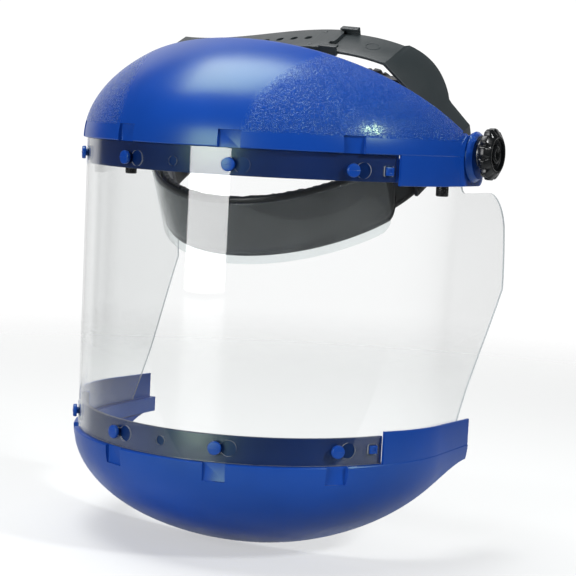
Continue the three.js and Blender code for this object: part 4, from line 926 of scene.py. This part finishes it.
def build_strap(side, lift, end_x, name):
    path = np.array(strap_path(side, lift, end_x))
    steps = np.diff(path, axis=0)
    normals = np.stack([-steps[:, 1], steps[:, 0]], 1) / np.linalg.norm(steps, axis=1, keepdims=True)
    half, foot_half = STRAP_WIDTH / 2, STRAP_FOOT_WIDTH / 2
    leg_top, leg_low = PIVOT_Z + STRAP_FOLD_Z, PIVOT_Z + STRAP_FOOT_TOP
    loops = []
    for i, point in enumerate(path):
        before, after = normals[max(0, i - 1)], normals[min(len(normals) - 1, i)]
        out = before + after
        out /= np.linalg.norm(out)
        out /= max(0.6, float(out @ after))
        on_leg = point[0] > STRAP_FOLD_X
        down = min(1.0, max(0.0, (leg_top - point[1]) / (leg_top - leg_low))) if on_leg else 0.0
        width = half + (foot_half - half) * down
        web = STRAP_WEB * math.sin(math.pi * down / 0.7) ** 0.8 if 0 < down < 0.7 else 0.0
        below = min(foot_half, max(0.0, PIVOT_Z - point[1]))
        tail = foot_half - math.sqrt(foot_half**2 - below**2) * 0.999
        bar = rounded_bar(-width + tail, width + web - tail, 0.0, STRAP_WALL, 0.5)
        loops.append([(side * (point[0] + out[0] * z), y, point[1] + out[1] * z) for y, z in bar])
    strap = loft(name, loops, HEADGEAR)
    hole = rod("strap_pivot_hole", BOLT_HOLE, -3, 4, HEADGEAR @ along_x(side, FOOT_X, *HEAD_PIVOT), 0.1)
    return cut(strap, hole)


def upright_at(x, y, lift):
    lean = Matrix.Rotation(-math.atan(strap_slope(x)), 4, "Y")
    return HEADGEAR @ Matrix.Translation((x, y, strap_height(x, lift))) @ lean


def build_left_strap():
    """The lower half: a peg for the upper half's last hole, and guides round its edges."""
    lift = -STRAP_WALL - GAP
    peg_x = STRAP_ROW_X - (STRAP_HOLES - 1) * STRAP_HOLE_PITCH
    strap = build_strap(1, lift, peg_x - 8, "overhead_strap_lower")
    half = STRAP_WIDTH / 2
    roof_low = 2 * STRAP_WALL + 2 * GAP
    parts = [rod("strap_peg", STRAP_PEG, 0.4, 3.9, upright_at(peg_x, 0, lift), 0.4)]
    middle = upright_at(GUIDE_X, 0, lift)
    height = roof_low + GUIDE_ROOF + GUIDE_SUNK
    for edge in (-1, 1):
        wall_y = edge * (half + GAP + GUIDE_WALL / 2)
        roof_y, root_y = edge * (half - 0.1), edge * (half + 0.5)
        wall_z, roof_z = height / 2 - GUIDE_SUNK, roof_low + GUIDE_ROOF / 2
        parts.append(block("guide_wall", (GUIDE_LENGTH, GUIDE_WALL, height), (0, wall_y, wall_z), middle, 0.4))
        parts.append(block("guide_roof", (GUIDE_LENGTH, 3.7, GUIDE_ROOF), (0, roof_y, roof_z), middle, 0.3))
        parts.append(block("guide_root", (GUIDE_LENGTH, 3.2, 1.2), (0, root_y, 0.4), middle, 0.3))
    ring = [(1.4, 4.3, 0), (1.75, 4.2, 0), (1.75, 3.7, 0), (1.4, 3.6, 0)]
    parts.append(turned("mould_ring", ring, upright_at(59, 1, lift), 48))
    return add(strap, *parts)


def build_right_strap():
    """The upper half: a row of holes and a stepped end."""
    t, half = TONGUE, STRAP_WIDTH / 2
    strap = build_strap(-1, 0.0, -(t + 3), "overhead_strap_upper")
    waste = [(t + 6, -half - 1), (t + 6, half + 1), (t - 3, half + 1), (t - 0.2, 9.3), (t + 0.6, -1.6),
             (t + 0.3, -4.2), (t - 1.9, -5), (t - 0.6, -9.3), (t + 2, -half - 1)]
    base = HEADGEAR @ Matrix.Translation((0, 0, PIVOT_Z + STRAP_FOLD_Z))
    holes = [rod("length_hole", STRAP_HOLE, -4, 4, upright_at(STRAP_ROW_X - i * STRAP_HOLE_PITCH, 0, 0.0),
                 0.1, 28)
             for i in range(STRAP_HOLES)]
    cut(strap, prism("end_cut", waste, -4, 26, base), *holes)
    bumps = [turned("strap_bump", [(1.3, 1.5, 0), (1.75, 1.2, 0), (1.95, 0.5, 0)], upright_at(26, y, 0.0), 24,
                    closed=False) for y in (9.7, -9.7)]
    return add(strap, *bumps)


# ---------------------------------------------------------------- nape straps and ratchet


def rack_teeth(start, end, base):
    pitch = 2 * math.pi * PINION_RADIUS / PINION_TEETH
    points = []
    phase = pitch / 2
    for i in range(math.ceil((start - phase) / pitch + 0.5), math.floor((end - phase) / pitch - 0.5) + 1):
        centre = phase + i * pitch
        points += [(centre - 0.18 * pitch, base), (centre - 0.08 * pitch, base - TOOTH),
                   (centre + 0.08 * pitch, base - TOOTH), (centre + 0.18 * pitch, base)]
    return points


def build_nape_strap(side):
    half = NAPE_HEIGHT / 2
    start, end = ring_angle_at(NAPE_LAP_START), ring_angle_at(RACK_Y - NAPE_OFFSET)

    def section(angle):
        reach = abs(abs(angle) - start)
        grow = 0.25 + 0.75 * math.sqrt(1 - (1 - min(1.0, reach / 7.0)) ** 2)
        return rounded_bar(NAPE_OFFSET, NAPE_OFFSET + NAPE_WALL, -half * grow, half * grow, 0.5)
    strap = ring_strip("nape_strap", side * start, side * end, section, 1.0)
    for height in (-half + 2.4, half - 2.4):
        bead = rounded_bar(NAPE_OFFSET + 0.4, NAPE_OFFSET + NAPE_WALL + 0.35, height - 0.8, height + 0.8, 0.3)
        add(strap, ring_strip("nape_bead", side * (start + 7), side * (end - 2), bead, 1.0))
    base = PINION_RADIUS + TOOTH / 2 + RACK_CLEARANCE / 2
    x = RACK_END_X
    outline = [(-20, base), *rack_teeth(-20, x - 6, base), (x - 4, base), (x - 1, -half), (x + 4, -half),
               (x + 4, half), (x, half), (x - 2, base + 4.6), (-20, base + 4.6)]
    outline = [(px, pz) if side > 0 else (-px, -pz) for px, pz in outline]
    return add(strap, plate_y("rack", outline, RACK_Y, RACK_Y + RACK_WALL, 0.12))


def build_housing():
    front = RACK_Y - RACK_CLEARANCE
    outline = rounded_rect(HOUSING_LENGTH / 2, HOUSING_HEIGHT / 2, 9, 10)
    shell = plate_y("ratchet_case", outline, front, HEAD_BACK_Y + HOUSING_WALL, 0.9)
    swell = turned("case_swell", [(-1.6, 21.5, 0), (0.0, 21.0, 0), (0.35, 20.2, 0)],
                   HEADGEAR @ along_y(0, HEAD_BACK_Y + HOUSING_WALL, 0), 72, closed=False)
    limit = plate_y("swell_limit", rounded_rect(HOUSING_LENGTH / 2 - 1.2, HOUSING_HEIGHT / 2 - 1.2, 8, 10),
                    front, HEAD_BACK_Y + HOUSING_WALL + 2)
    combine(swell, [limit], "INTERSECT")
    add(shell, swell)
    depth = HEAD_BACK_Y - front + 1
    hollow = block("case_hollow", (HOUSING_LENGTH + 4, depth, NAPE_HEIGHT + 1.2),
                   (0, (front + HEAD_BACK_Y) / 2 - 0.5, 0), HEADGEAR)
    hole = rod("case_hole", 7.2, -3, 4, HEADGEAR @ along_y(0, HEAD_BACK_Y, 0), 0.1)
    return cut(shell, hollow, hole)


def build_housing_cover():
    back = RACK_Y - RACK_CLEARANCE - GAP
    outline = rounded_rect(HOUSING_LENGTH / 2, HOUSING_HEIGHT / 2, 9, 10)
    plate = plate_y("ratchet_back", outline, back - HOUSING_WALL, back, 0.5)
    return cut(plate, rod("cover_hole", 4.0, -4, 1, HEADGEAR @ along_y(0, back, 0), 0.1))


def build_dial():
    place = HEADGEAR @ along_y(0, DIAL_FRONT_Y, 0)
    r, t = DIAL / 2, DIAL_THICKNESS
    profile = [(0.0, 1.9, 0), (0.0, 5.8, 0), (3.4, 6.0, 0), (3.4, 12.8, 0), (0.0, 13.2, 0),
               (0.0, r - 0.8, 0.8),
               (0.5, r - 0.2, 1.3), (1.1, r, 1.5), (t - 3.4, r - 0.3, 1.5), (t - 2.6, r - 0.8, 1.3),
               (t - 1.6, r - 2.2, 0.7), (t - 0.7, r - 4.2, 0.2), (t - 0.15, r - 6.2, 0), (t, r - 8.0, 0),
               (t, 5.2, 0),
               (t - 0.2, 4.6, 0), (t - 0.5, 4.35, 0), (t - 3.0, 4.3, 0), (t - 3.0, 1.9, 0)]
    return turned("dial", profile, place, DIAL_LOBES * 18, DIAL_LOBES)


def build_screw():
    start = RACK_Y - RACK_CLEARANCE - GAP - HOUSING_WALL + 0.3
    end = DIAL_FRONT_Y + DIAL_THICKNESS
    place = HEADGEAR @ along_y(0, 0, 0)
    profile = [(start, 0.9, 0), (start + 0.4, 1.3, 0), (end - 2.7, 1.3, 0), (end - 2.7, 3.9, 0),
               (end - 2.4, 4.0, 0),
               (end - 1.9, 4.0, 0), (end - 1.3, 3.4, 0), (end - 0.95, 2.2, 0), (end - 0.9, 0.6, 0)]
    screw = turned("dial_screw", profile, place, 40, closed=False)
    cross = [block("screw_slot", size, (0, 0, end - 1.0), place,
                   0.1) for size in ((0.9, 4.4, 1.6), (4.4, 0.9, 1.6))]
    return cut(screw, *cross)


def build_pinion():
    outer, root = PINION_RADIUS + TOOTH / 2 - 0.05, PINION_RADIUS - TOOTH / 2 - 0.2
    step = 2 * math.pi / PINION_TEETH
    outline = []
    for i in range(PINION_TEETH):
        middle = math.pi / 2 + i * step
        for r, share in ((root, -0.36), (outer, -0.16), (outer, 0.16), (root, 0.36)):
            angle = middle + share * step / 2
            outline.append((r * math.cos(angle), r * math.sin(angle)))
    gear = plate_y("pinion_gear", outline, RACK_Y - 0.1, RACK_Y + RACK_WALL + 0.1, 0.1)
    shaft = rod("pinion_shaft", 6.4, RACK_WALL - 0.4, RACK_WALL + RACK_CLEARANCE + HOUSING_WALL + 3,
                HEADGEAR @ along_y(0, RACK_Y, 0), 0.3)
    bore = rod("pinion_bore", 3.0, -2, 12, HEADGEAR @ along_y(0, RACK_Y, 0), 0.1)
    return cut(add(gear, shaft), bore)


def build_detent_ring():
    place = HEADGEAR @ along_y(0, HEAD_BACK_Y + HOUSING_WALL + GAP, 0)
    profile = [(0, 8.0, 0), (0, 11.8, 0.8), (1.2, 11.8, 0.8), (1.2, 8.0, 0)]
    return turned("detent", profile, place, 24 * 10, 24)


def build_hanger(side):
    foot, wall = BAND_HALF + GAP, 2.2
    hang_x = KNOB_BACK_X - HANGER_BACK
    top, bend, low = PIVOT_Z + 11, PIVOT_Z - 11.5, -BAND_HEIGHT / 2
    outline = [(foot, low), (foot + wall, low), (foot + wall, bend - 4.5), (hang_x + wall, bend + 3),
               (hang_x + wall, top), (hang_x, top), (hang_x, bend + 4.5), (foot, bend - 2.6)]
    outline = [(side * x, z) for x, z in outline]
    if side < 0:
        outline.reverse()
    arm = plate_y("hanger", outline, -HANGER_WIDTH / 2, HANGER_WIDTH / 2, 0.5)
    tools = [rod("hanger_hole", BOLT_HOLE, -3, 5, HEADGEAR @ along_x(side, hang_x, *HEAD_PIVOT), 0.1)]
    for end in (-1, 1):
        tools.append(rod("rivet_hole", 3.8, -3, 6,
                         HEADGEAR @ along_x(side, foot, end * RIVET_REACH, RIVET_HEIGHT), 0.1))
    rib = plate_y("hanger_rib", [(side * x, z) for x, z in [
        (foot + wall - 0.4, -3), (foot + wall + 1.6, bend - 5.0), (hang_x - 0.2, bend + 4.2),
        (hang_x - 0.2, bend + 7)
    ]][::side], -0.9, 0.9, 0.25)
    return cut(add(arm, rib), *tools)


# ---------------------------------------------------------------- materials


class Surface:
    """A node material with one Principled shader, and short ways to wire textures into it."""

    def __init__(self, name, **values):
        self.material = bpy.data.materials.new(name)
        self.material.use_nodes = True
        self.tree = self.material.node_tree
        self.shader = self.tree.nodes["Principled BSDF"]
        for key, value in values.items():
            self.shader.inputs[key.replace("_", " ")].default_value = value
        self.place = self.node("ShaderNodeTexCoord").outputs["Object"]

    def node(self, kind, **values):
        node = self.tree.nodes.new(kind)
        for key, value in values.items():
            setattr(node, key, value)
        return node

    def link(self, source, target):
        self.tree.links.new(source, target)

    def math(self, operation, a, b=None):
        node = self.node("ShaderNodeMath", operation=operation)
        for socket, value in zip(node.inputs, (a, b)):
            if isinstance(value, (int, float)):
                socket.default_value = value
            elif value is not None:
                self.link(value, socket)
        return node.outputs[0]

    def noise(self, scale, detail=2.0, roughness=0.5, distortion=0.0, stretch=None):
        node = self.node("ShaderNodeTexNoise")
        node.inputs["Scale"].default_value = scale
        node.inputs["Detail"].default_value = detail
        node.inputs["Roughness"].default_value = roughness
        node.inputs["Distortion"].default_value = distortion
        self.link(self.stretched(stretch), node.inputs["Vector"])
        return node.outputs["Fac"]

    def cells(self, scale):
        node = self.node("ShaderNodeTexVoronoi", feature="DISTANCE_TO_EDGE")
        node.inputs["Scale"].default_value = scale
        self.link(self.place, node.inputs["Vector"])
        return node.outputs["Distance"]

    def stretched(self, stretch):
        if stretch is None:
            return self.place
        node = self.node("ShaderNodeMapping")
        node.inputs["Scale"].default_value = stretch
        self.link(self.place, node.inputs["Vector"])
        return node.outputs["Vector"]

    def between(self, value, low, high, out_low=0.0, out_high=1.0):
        node = self.node("ShaderNodeMapRange", clamp=True)
        for key, number in (("From Min", low), ("From Max", high), ("To Min", out_low), ("To Max", out_high)):
            node.inputs[key].default_value = number
        self.link(value, node.inputs["Value"])
        return node.outputs["Result"]

    def colour(self, factor, dark, light):
        node = self.node("ShaderNodeMix", data_type="RGBA")
        node.inputs["A"].default_value = (*dark, 1)
        node.inputs["B"].default_value = (*light, 1)
        self.link(factor, node.inputs["Factor"])
        self.link(node.outputs["Result"], self.shader.inputs["Base Color"])

    def bump(self, height, distance, strength=1.0, under=None):
        node = self.node("ShaderNodeBump")
        node.inputs["Distance"].default_value = distance
        node.inputs["Strength"].default_value = strength
        self.link(height, node.inputs["Height"])
        if under is not None:
            self.link(under, node.inputs["Normal"])
        self.link(node.outputs["Normal"], self.shader.inputs["Normal"])
        return node.outputs["Normal"]

    def rough(self, value):
        self.link(value, self.shader.inputs["Roughness"])


BLUE = (0.006, 0.066, 0.42)
UNLIT = (0.0, 0.0, 0.0)
# The grain starts at a line on the crown: x, y and slant in metres of the row frame, mirrored across x = 0.
GRAIN_START_X = 0.0374
GRAIN_START_Y = -0.12817
GRAIN_SLANT = 0.30
GRAIN_LOW_Z = 0.0162


def blue_plastic(name, plan, rail_low, rail_high, grained):
    """Glossy royal blue. The rail behind the window is painted duller and darker than the lips: painted shade
    for the shadow of the lip and the window over it.
    """
    s = Surface(name, Specular_IOR_Level=0.5, IOR=1.5)
    s.shader.inputs["Specular Tint"].default_value = (0.66, 1.0, 0.5, 1)
    split = s.node("ShaderNodeSeparateXYZ")
    s.link(s.place, split.inputs[0])
    middle = (SHIELD @ Vector((0, plan.centre_y, 0))).y * MM
    across = s.math("DIVIDE", split.outputs["X"], plan.half_width * MM)
    along = s.math("DIVIDE", s.math("SUBTRACT", split.outputs["Y"], middle), plan.depth * MM)
    reach = s.math("ADD", s.math("MULTIPLY", across, across), s.math("MULTIPLY", along, along))
    inside = s.between(reach, 0.998, 1.004, 1.0, 0.0)
    wing_y = (SHIELD @ Vector((0, plan.at(WING_STEP, 0)[0][1], 0))).y * MM
    ahead = s.between(split.outputs["Y"], wing_y - 0.0003, wing_y + 0.0003, 1.0, 0.0)
    low = (SHIELD @ Vector((0, 0, rail_low))).z * MM
    high = (SHIELD @ Vector((0, 0, rail_high))).z * MM
    between = s.math("MULTIPLY", s.between(split.outputs["Z"], low - 0.0002, low + 0.0002),
                     s.between(split.outputs["Z"], high - 0.0002, high + 0.0002, 1.0, 0.0))
    # Painted shade: the colour of the rail zone behind the window is darkened for the shadow of the lip and
    # window over it. The noise adds a random tone.
    rail = s.math("MULTIPLY", s.math("MULTIPLY", inside, ahead), between)
    tone_and_painted_shade = s.math("SUBTRACT", s.between(s.noise(18, 3), 0.3, 0.7, 0.82, 1.0), s.math("MULTIPLY", rail, 0.62))
    fine = s.noise(2600, 2)
    if not grained:
        s.colour(tone_and_painted_shade, UNLIT, BLUE)
        s.rough(s.between(s.noise(60, 4), 0.3, 0.7, 0.33, 0.40))
        s.bump(fine, 0.00002, 0.6)
        return s.material
    x = s.math("ABSOLUTE", split.outputs["X"])
    slope = s.math("ADD", s.math("MULTIPLY", split.outputs["Y"], GRAIN_SLANT),
                   GRAIN_START_X - GRAIN_SLANT * GRAIN_START_Y)
    beside = s.between(s.math("SUBTRACT", x, slope), -0.001, 0.005)
    above = s.between(split.outputs["Z"], GRAIN_LOW_Z, GRAIN_LOW_Z + 0.001)
    mask = s.math("MULTIPLY", beside, above)
    worms = s.between(s.noise(620, 2, 0.55, 1.4), 0.42, 0.58)
    lit = s.math("MULTIPLY", s.math("MULTIPLY", worms, mask), 0.16)
    s.colour(s.math("ADD", s.math("SUBTRACT", tone_and_painted_shade, s.math("MULTIPLY", mask, 0.08)), lit), UNLIT, BLUE)
    s.rough(s.between(mask, 0.0, 1.0, 0.29, 0.22))
    soft = s.bump(fine, 0.00002, 0.35)
    s.bump(s.math("MULTIPLY", worms, mask), 0.00016, 1.0, soft)
    return s.material


def moulded(name, colour, roughness, scale=1500, height=0.00003):
    """Moulded plastic with a fine eroded grain and slightly uneven gloss."""
    s = Surface(name, Specular_IOR_Level=0.5, IOR=1.5)
    s.colour(s.noise(25, 3), colour, tuple(c * 1.25 for c in colour))
    s.rough(s.between(s.noise(90, 4), 0.3, 0.7, roughness - 0.04, roughness + 0.05))
    s.bump(s.noise(scale, 3, 0.6), height)
    return s.material


def vinyl():
    s = Surface("vinyl", Specular_IOR_Level=0.45, IOR=1.5, Sheen_Weight=0.15, Sheen_Roughness=0.5)
    s.colour(s.noise(40, 3), (0.007, 0.009, 0.010), (0.012, 0.015, 0.016))
    s.rough(s.between(s.noise(120, 3), 0.3, 0.7, 0.30, 0.38))
    s.bump(s.math("ADD", s.cells(1100), s.math("MULTIPLY", s.noise(260, 3), 0.9)), 0.00009, 0.5)
    return s.material


def pad_fabric():
    s = Surface("pad_fabric", Specular_IOR_Level=0.25, Sheen_Weight=0.35, Sheen_Roughness=0.5)
    s.colour(s.noise(60, 4), (0.014, 0.016, 0.018), (0.028, 0.032, 0.034))
    s.shader.inputs["Roughness"].default_value = 0.9
    weave = s.node("ShaderNodeTexWave", wave_type="BANDS", bands_direction="X")
    cross = s.node("ShaderNodeTexWave", wave_type="BANDS", bands_direction="Z")
    for wave in (weave, cross):
        wave.inputs["Scale"].default_value = 420
        wave.inputs["Distortion"].default_value = 1.2
        s.link(s.place, wave.inputs["Vector"])
    threads = s.math("MAXIMUM", weave.outputs["Fac"], cross.outputs["Fac"])
    s.bump(s.math("ADD", threads, s.noise(1500, 2)), 0.00012, 0.7)
    return s.material


def steel():
    s = Surface("zinc_steel", Metallic=1.0, IOR=1.5)
    s.colour(s.noise(300, 3), (0.42, 0.43, 0.44), (0.62, 0.63, 0.64))
    s.rough(s.between(s.noise(900, 3), 0.3, 0.7, 0.24, 0.38))
    s.bump(s.noise(1800, 2, stretch=(1, 0.08, 1)), 0.00002, 0.6)
    return s.material


def clear(name, tint, haze, roughness=0.02):
    """A clear sheet: seen through, with a mirror sheen by angle and a trace of dust."""
    material = bpy.data.materials.new(name)
    material.use_nodes = True
    tree = material.node_tree
    tree.nodes.clear()
    node, link = tree.nodes.new, tree.links.new
    through, mirror, dust = (node("ShaderNodeBsdf" + kind) for kind in ("Transparent", "Glossy", "Diffuse"))
    through.inputs["Color"].default_value = (*tint, 1)
    mirror.inputs["Roughness"].default_value = roughness
    mirror.inputs["Color"].default_value = (1, 1, 1, 1)
    dust.inputs["Color"].default_value = (0.85, 0.88, 0.9, 1)
    place, specks, amount = node("ShaderNodeTexCoord"), node("ShaderNodeTexNoise"), node("ShaderNodeMapRange")
    specks.inputs["Scale"].default_value = 55
    specks.inputs["Detail"].default_value = 6
    link(place.outputs["Object"], specks.inputs["Vector"])
    link(specks.outputs["Fac"], amount.inputs["Value"])
    for key, number in (("From Min", 0.35), ("From Max", 0.75), ("To Min", haze * 0.4), ("To Max", haze)):
        amount.inputs[key].default_value = number
    dusty, shine, fresnel, out = (node("ShaderNode" + kind) for kind in
                                  ("MixShader", "MixShader", "Fresnel", "OutputMaterial"))
    facing, index = node("ShaderNodeNewGeometry"), node("ShaderNodeMapRange")
    index.inputs["To Min"].default_value = 1.49
    index.inputs["To Max"].default_value = 1 / 1.49
    link(facing.outputs["Backfacing"], index.inputs["Value"])
    link(index.outputs["Result"], fresnel.inputs["IOR"])
    link(amount.outputs["Result"], dusty.inputs["Fac"])
    link(through.outputs[0], dusty.inputs[1])
    link(dust.outputs[0], dusty.inputs[2])
    link(fresnel.outputs[0], shine.inputs["Fac"])
    link(dusty.outputs[0], shine.inputs[1])
    link(mirror.outputs[0], shine.inputs[2])
    link(shine.outputs[0], out.inputs["Surface"])
    return material


GLOSS_BLUE = blue_plastic("crown_blue", upper_plan, -RAIL_DROP - 1, LIP_HEIGHT, True)
SOFT_BLUE = blue_plastic("guard_blue", lower_plan, -ROW_SPACING - GUARD_RAIL_BELOW, -ROW_SPACING + 12, False)
WINDOW = clear("window_clear", (0.985, 0.99, 0.99), 0.005)
WINDOW_RIM = clear("window_rim", (0.55, 0.6, 0.62), 0.7, 0.2)
FILM = clear("film_clear", (0.93, 0.95, 0.95), 0.05, 0.08)
BLACK = moulded("black_plastic", (0.006, 0.008, 0.009), 0.40)
KNOB_BLACK = moulded("knob_black", (0.005, 0.006, 0.007), 0.26, 1800, 0.00002)
INSERT_BLACK = moulded("insert_black", (0.006, 0.007, 0.008), 0.16, 900, 0.00001)
STRAP = moulded("strap_charcoal", (0.026, 0.034, 0.037), 0.40, 1300, 0.00004)
VINYL = vinyl()
PAD = pad_fabric()
STEEL = steel()

# ---------------------------------------------------------------- the object

finish_piece(build_crown(), GLOSS_BLUE, "blue_shell", "shield", "crown_shell", degrees=28)
finish_piece(build_chin_guard(), SOFT_BLUE, "blue_shell", "shield", "chin_guard", degrees=28)

window = build_window()
rim_faces = [polygon.material_index for polygon in window.data.polygons]
finish_piece(window, [WINDOW, WINDOW_RIM], "clear_window", "shield", "face_window", degrees=40)
window.data.polygons.foreach_set("material_index", rim_faces)

for side, word in ((1, "left"), (-1, "right")):
    knob_body = "knob_" + word
    finish_piece(build_knob(side), KNOB_BLACK, "knob", knob_body, "tension_knob_" + word)
    finish_piece(build_insert(side), INSERT_BLACK, "knob", knob_body, "knob_insert_" + word)
    finish_piece(build_bolt(side), STEEL, "steel", "headgear", "pivot_bolt_" + word)
    spring = build_washer(side, "spring_washer", KNOB_BACK_X - SPRING_WASHER_BACK, 16)
    finish_piece(spring, STEEL, "steel", "headgear", "spring_washer_" + word)
    friction = build_washer(side, "friction_washer", KNOB_BACK_X - FRICTION_WASHER_BACK, 18)
    finish_piece(friction, BLACK, "black_plastic", "headgear", "friction_washer_" + word)
    finish_piece(build_stop(side), KNOB_BLACK, "black_plastic", "headgear", "tilt_stop_" + word)
    finish_piece(build_hanger(side), BLACK, "black_plastic", "headgear", "side_hanger_" + word)
    for end, place in ((-1, "front"), (1, "rear")):
        node = f"hanger_rivet_{word}_{place}"
        finish_piece(build_rivet(side, end), BLACK, "black_plastic", "headgear", node)
    finish_piece(build_nape_strap(side), BLACK, "black_plastic", "nape_" + word, "nape_strap_" + word)

finish_piece(build_headband(), BLACK, "black_plastic", "headgear", "headband_front")
finish_piece(build_film(), FILM, "clear_film", "headgear", "brow_film")
cover = finish_piece(build_cover(), VINYL, "vinyl", "headgear", "brow_pad_cover", degrees=60)
brow_pad = finish_piece(build_brow_pad(), PAD, "foam", "headgear", "brow_pad", degrees=80)
nape_pad = finish_piece(build_nape_pad(), PAD, "foam", "headgear", "nape_pad", degrees=80)

finish_piece(build_left_strap(), STRAP, "strap", "headgear", "overhead_strap_left")
finish_piece(build_right_strap(), STRAP, "strap", "headgear", "overhead_strap_right")
finish_piece(build_housing(), BLACK, "black_plastic", "headgear", "ratchet_housing")
finish_piece(build_housing_cover(), BLACK, "black_plastic", "headgear", "ratchet_cover")
finish_piece(build_detent_ring(), BLACK, "black_plastic", "headgear", "detent_ring")
finish_piece(build_screw(), STEEL, "steel", "headgear", "ratchet_screw")
finish_piece(build_dial(), KNOB_BLACK, "knob", "dial", "ratchet_dial")
finish_piece(build_pinion(), BLACK, "black_plastic", "dial", "ratchet_pinion")

# ---------------------------------------------------------------- stage, light and camera

CAMERA_AT = Vector((0.488424, -0.876573, 0.024859))
CAMERA_AZIMUTH, CAMERA_ELEVATION, CAMERA_ROLL = (math.radians(a) for a in (29.2577, 5.7856, 2.9694))


def camera_axes():
    level_share = math.cos(CAMERA_ELEVATION)
    back = Vector((math.sin(CAMERA_AZIMUTH) * level_share, -math.cos(CAMERA_AZIMUTH) * level_share,
                   math.sin(CAMERA_ELEVATION)))
    level = Vector((math.cos(CAMERA_AZIMUTH), math.sin(CAMERA_AZIMUTH), 0))
    up = back.cross(level)
    across = level * math.cos(CAMERA_ROLL) + up * math.sin(CAMERA_ROLL)
    return across, back.cross(across), back


def add_camera():
    data = bpy.data.cameras.new("camera")
    data.lens = 105.33
    data.sensor_width = 36
    data.clip_start, data.clip_end = 0.05, 30
    camera = bpy.data.objects.new("camera", data)
    scene.collection.objects.link(camera)
    across, up, back = camera_axes()
    turn = Matrix((across, up, back)).transposed().to_4x4()
    camera.matrix_world = Matrix.Translation(CAMERA_AT) @ turn
    scene.camera = camera


def softbox(name, centre, aim, width, height, radiance):
    """A rectangular light of a given brightness, facing a point."""
    data = bpy.data.lights.new(name, "AREA")
    data.shape = "RECTANGLE"
    data.size, data.size_y = width, height
    data.energy = radiance * math.pi * width * height
    light = bpy.data.objects.new(name, data)
    scene.collection.objects.link(light)
    light.location = centre
    light.rotation_euler = (Vector(aim) - Vector(centre)).to_track_quat("-Z", "Y").to_euler()


def add_floor():
    radius, steps = 1.6, 96
    ring = [(radius * math.cos(2 * math.pi * i / steps), radius * math.sin(2 * math.pi * i / steps),
             float(cad_bounds[0][2]) - 0.0006) for i in range(steps)]
    mesh = bpy.data.meshes.new("floor")
    mesh.from_pydata(ring, [], [tuple(range(steps))])
    floor = bpy.data.objects.new("floor", mesh)
    scene.collection.objects.link(floor)
    material = bpy.data.materials.new("floor_white")
    material.use_nodes = True
    tree = material.node_tree
    tree.nodes.clear()
    node, link = tree.nodes.new, tree.links.new
    diffuse, through, mix, out = (node("ShaderNode" + kind) for kind in
                                  ("BsdfDiffuse", "BsdfTransparent", "MixShader", "OutputMaterial"))
    diffuse.inputs["Color"].default_value = (0.93, 0.95, 0.95, 1)
    place, length, fade = node("ShaderNodeTexCoord"), node("ShaderNodeVectorMath"), node("ShaderNodeMapRange")
    length.operation = "LENGTH"
    fade.inputs["From Min"].default_value = 0.45
    fade.inputs["From Max"].default_value = 1.2
    fade.inputs["To Min"].default_value = 0.45
    fade.interpolation_type = "SMOOTHSTEP"
    link(place.outputs["Object"], length.inputs[0])
    link(length.outputs["Value"], fade.inputs["Value"])
    link(fade.outputs["Result"], mix.inputs["Fac"])
    link(diffuse.outputs[0], mix.inputs[1])
    link(through.outputs[0], mix.inputs[2])
    link(mix.outputs[0], out.inputs["Surface"])
    mesh.materials.append(material)


def add_dark_card():
    """A black card in front of the table's edge. It only shows in reflections."""
    ahead, across = Vector((math.sin(CAMERA_AZIMUTH), -math.cos(CAMERA_AZIMUTH), 0)), camera_axes()[0]
    level = Vector((across.x, across.y, 0)).normalized()
    z = Vector((0, 0, float(cad_bounds[0][2]) + 0.0005))
    corners = [ahead * a + level * b + z for a, b in ((0.315, -1.2), (0.315, 1.2), (1.6, 1.2), (1.6, -1.2))]
    mesh = bpy.data.meshes.new("dark_card")
    mesh.from_pydata([tuple(c) for c in corners], [], [(0, 1, 2, 3)])
    card = bpy.data.objects.new("dark_card", mesh)
    scene.collection.objects.link(card)
    material = bpy.data.materials.new("card_black")
    material.use_nodes = True
    material.node_tree.nodes["Principled BSDF"].inputs["Base Color"].default_value = (0.02, 0.02, 0.02, 1)
    mesh.materials.append(material)
    card.visible_camera = card.visible_diffuse = card.visible_shadow = card.visible_transmission = False


def add_world():
    """White behind the object for the eye; for light and reflections, bright only at the back."""
    world = bpy.data.worlds.new("studio")
    scene.world = world
    world.use_nodes = True
    tree = world.node_tree
    tree.nodes.clear()
    node, link = tree.nodes.new, tree.links.new
    place, dot, edge = node("ShaderNodeTexCoord"), node("ShaderNodeVectorMath"), node("ShaderNodeMapRange")
    dot.operation = "DOT_PRODUCT"
    dot.inputs[1].default_value = (-math.sin(CAMERA_AZIMUTH), math.cos(CAMERA_AZIMUTH), 0)
    link(place.outputs["Generated"], dot.inputs[0])
    link(dot.outputs["Value"], edge.inputs["Value"])
    for key, number in (("From Min", 0.66), ("From Max", 0.76), ("To Min", 0.05), ("To Max", 0.95)):
        edge.inputs[key].default_value = number
    rays, dim, white, mix, out = (node("ShaderNode" + kind) for kind in
                                  ("LightPath", "Background", "Background", "MixShader", "OutputWorld"))
    link(edge.outputs["Result"], dim.inputs["Strength"])
    white.inputs["Strength"].default_value = 1.05
    white.inputs["Color"].default_value = (1, 1, 1, 1)
    link(rays.outputs["Is Camera Ray"], mix.inputs["Fac"])
    link(dim.outputs[0], mix.inputs[1])
    link(white.outputs[0], mix.inputs[2])
    link(mix.outputs[0], out.inputs["Surface"])


add_camera()
add_world()
add_floor()
add_dark_card()
softbox("top_box", (-0.34, -0.06, 1.2), (0, -0.08, 0), 0.8, 0.75, 8.0)
softbox("front_box", (-0.172, -1.42, 0.184), (0.02, -0.13, 0.184), 0.61, 0.784, 7.5)
softbox("side_box", (1.15, -0.09, 0.62), (0.09, -0.09, 0.02), 0.16, 0.2, 90.0)
scene.view_settings.view_transform = "Standard"
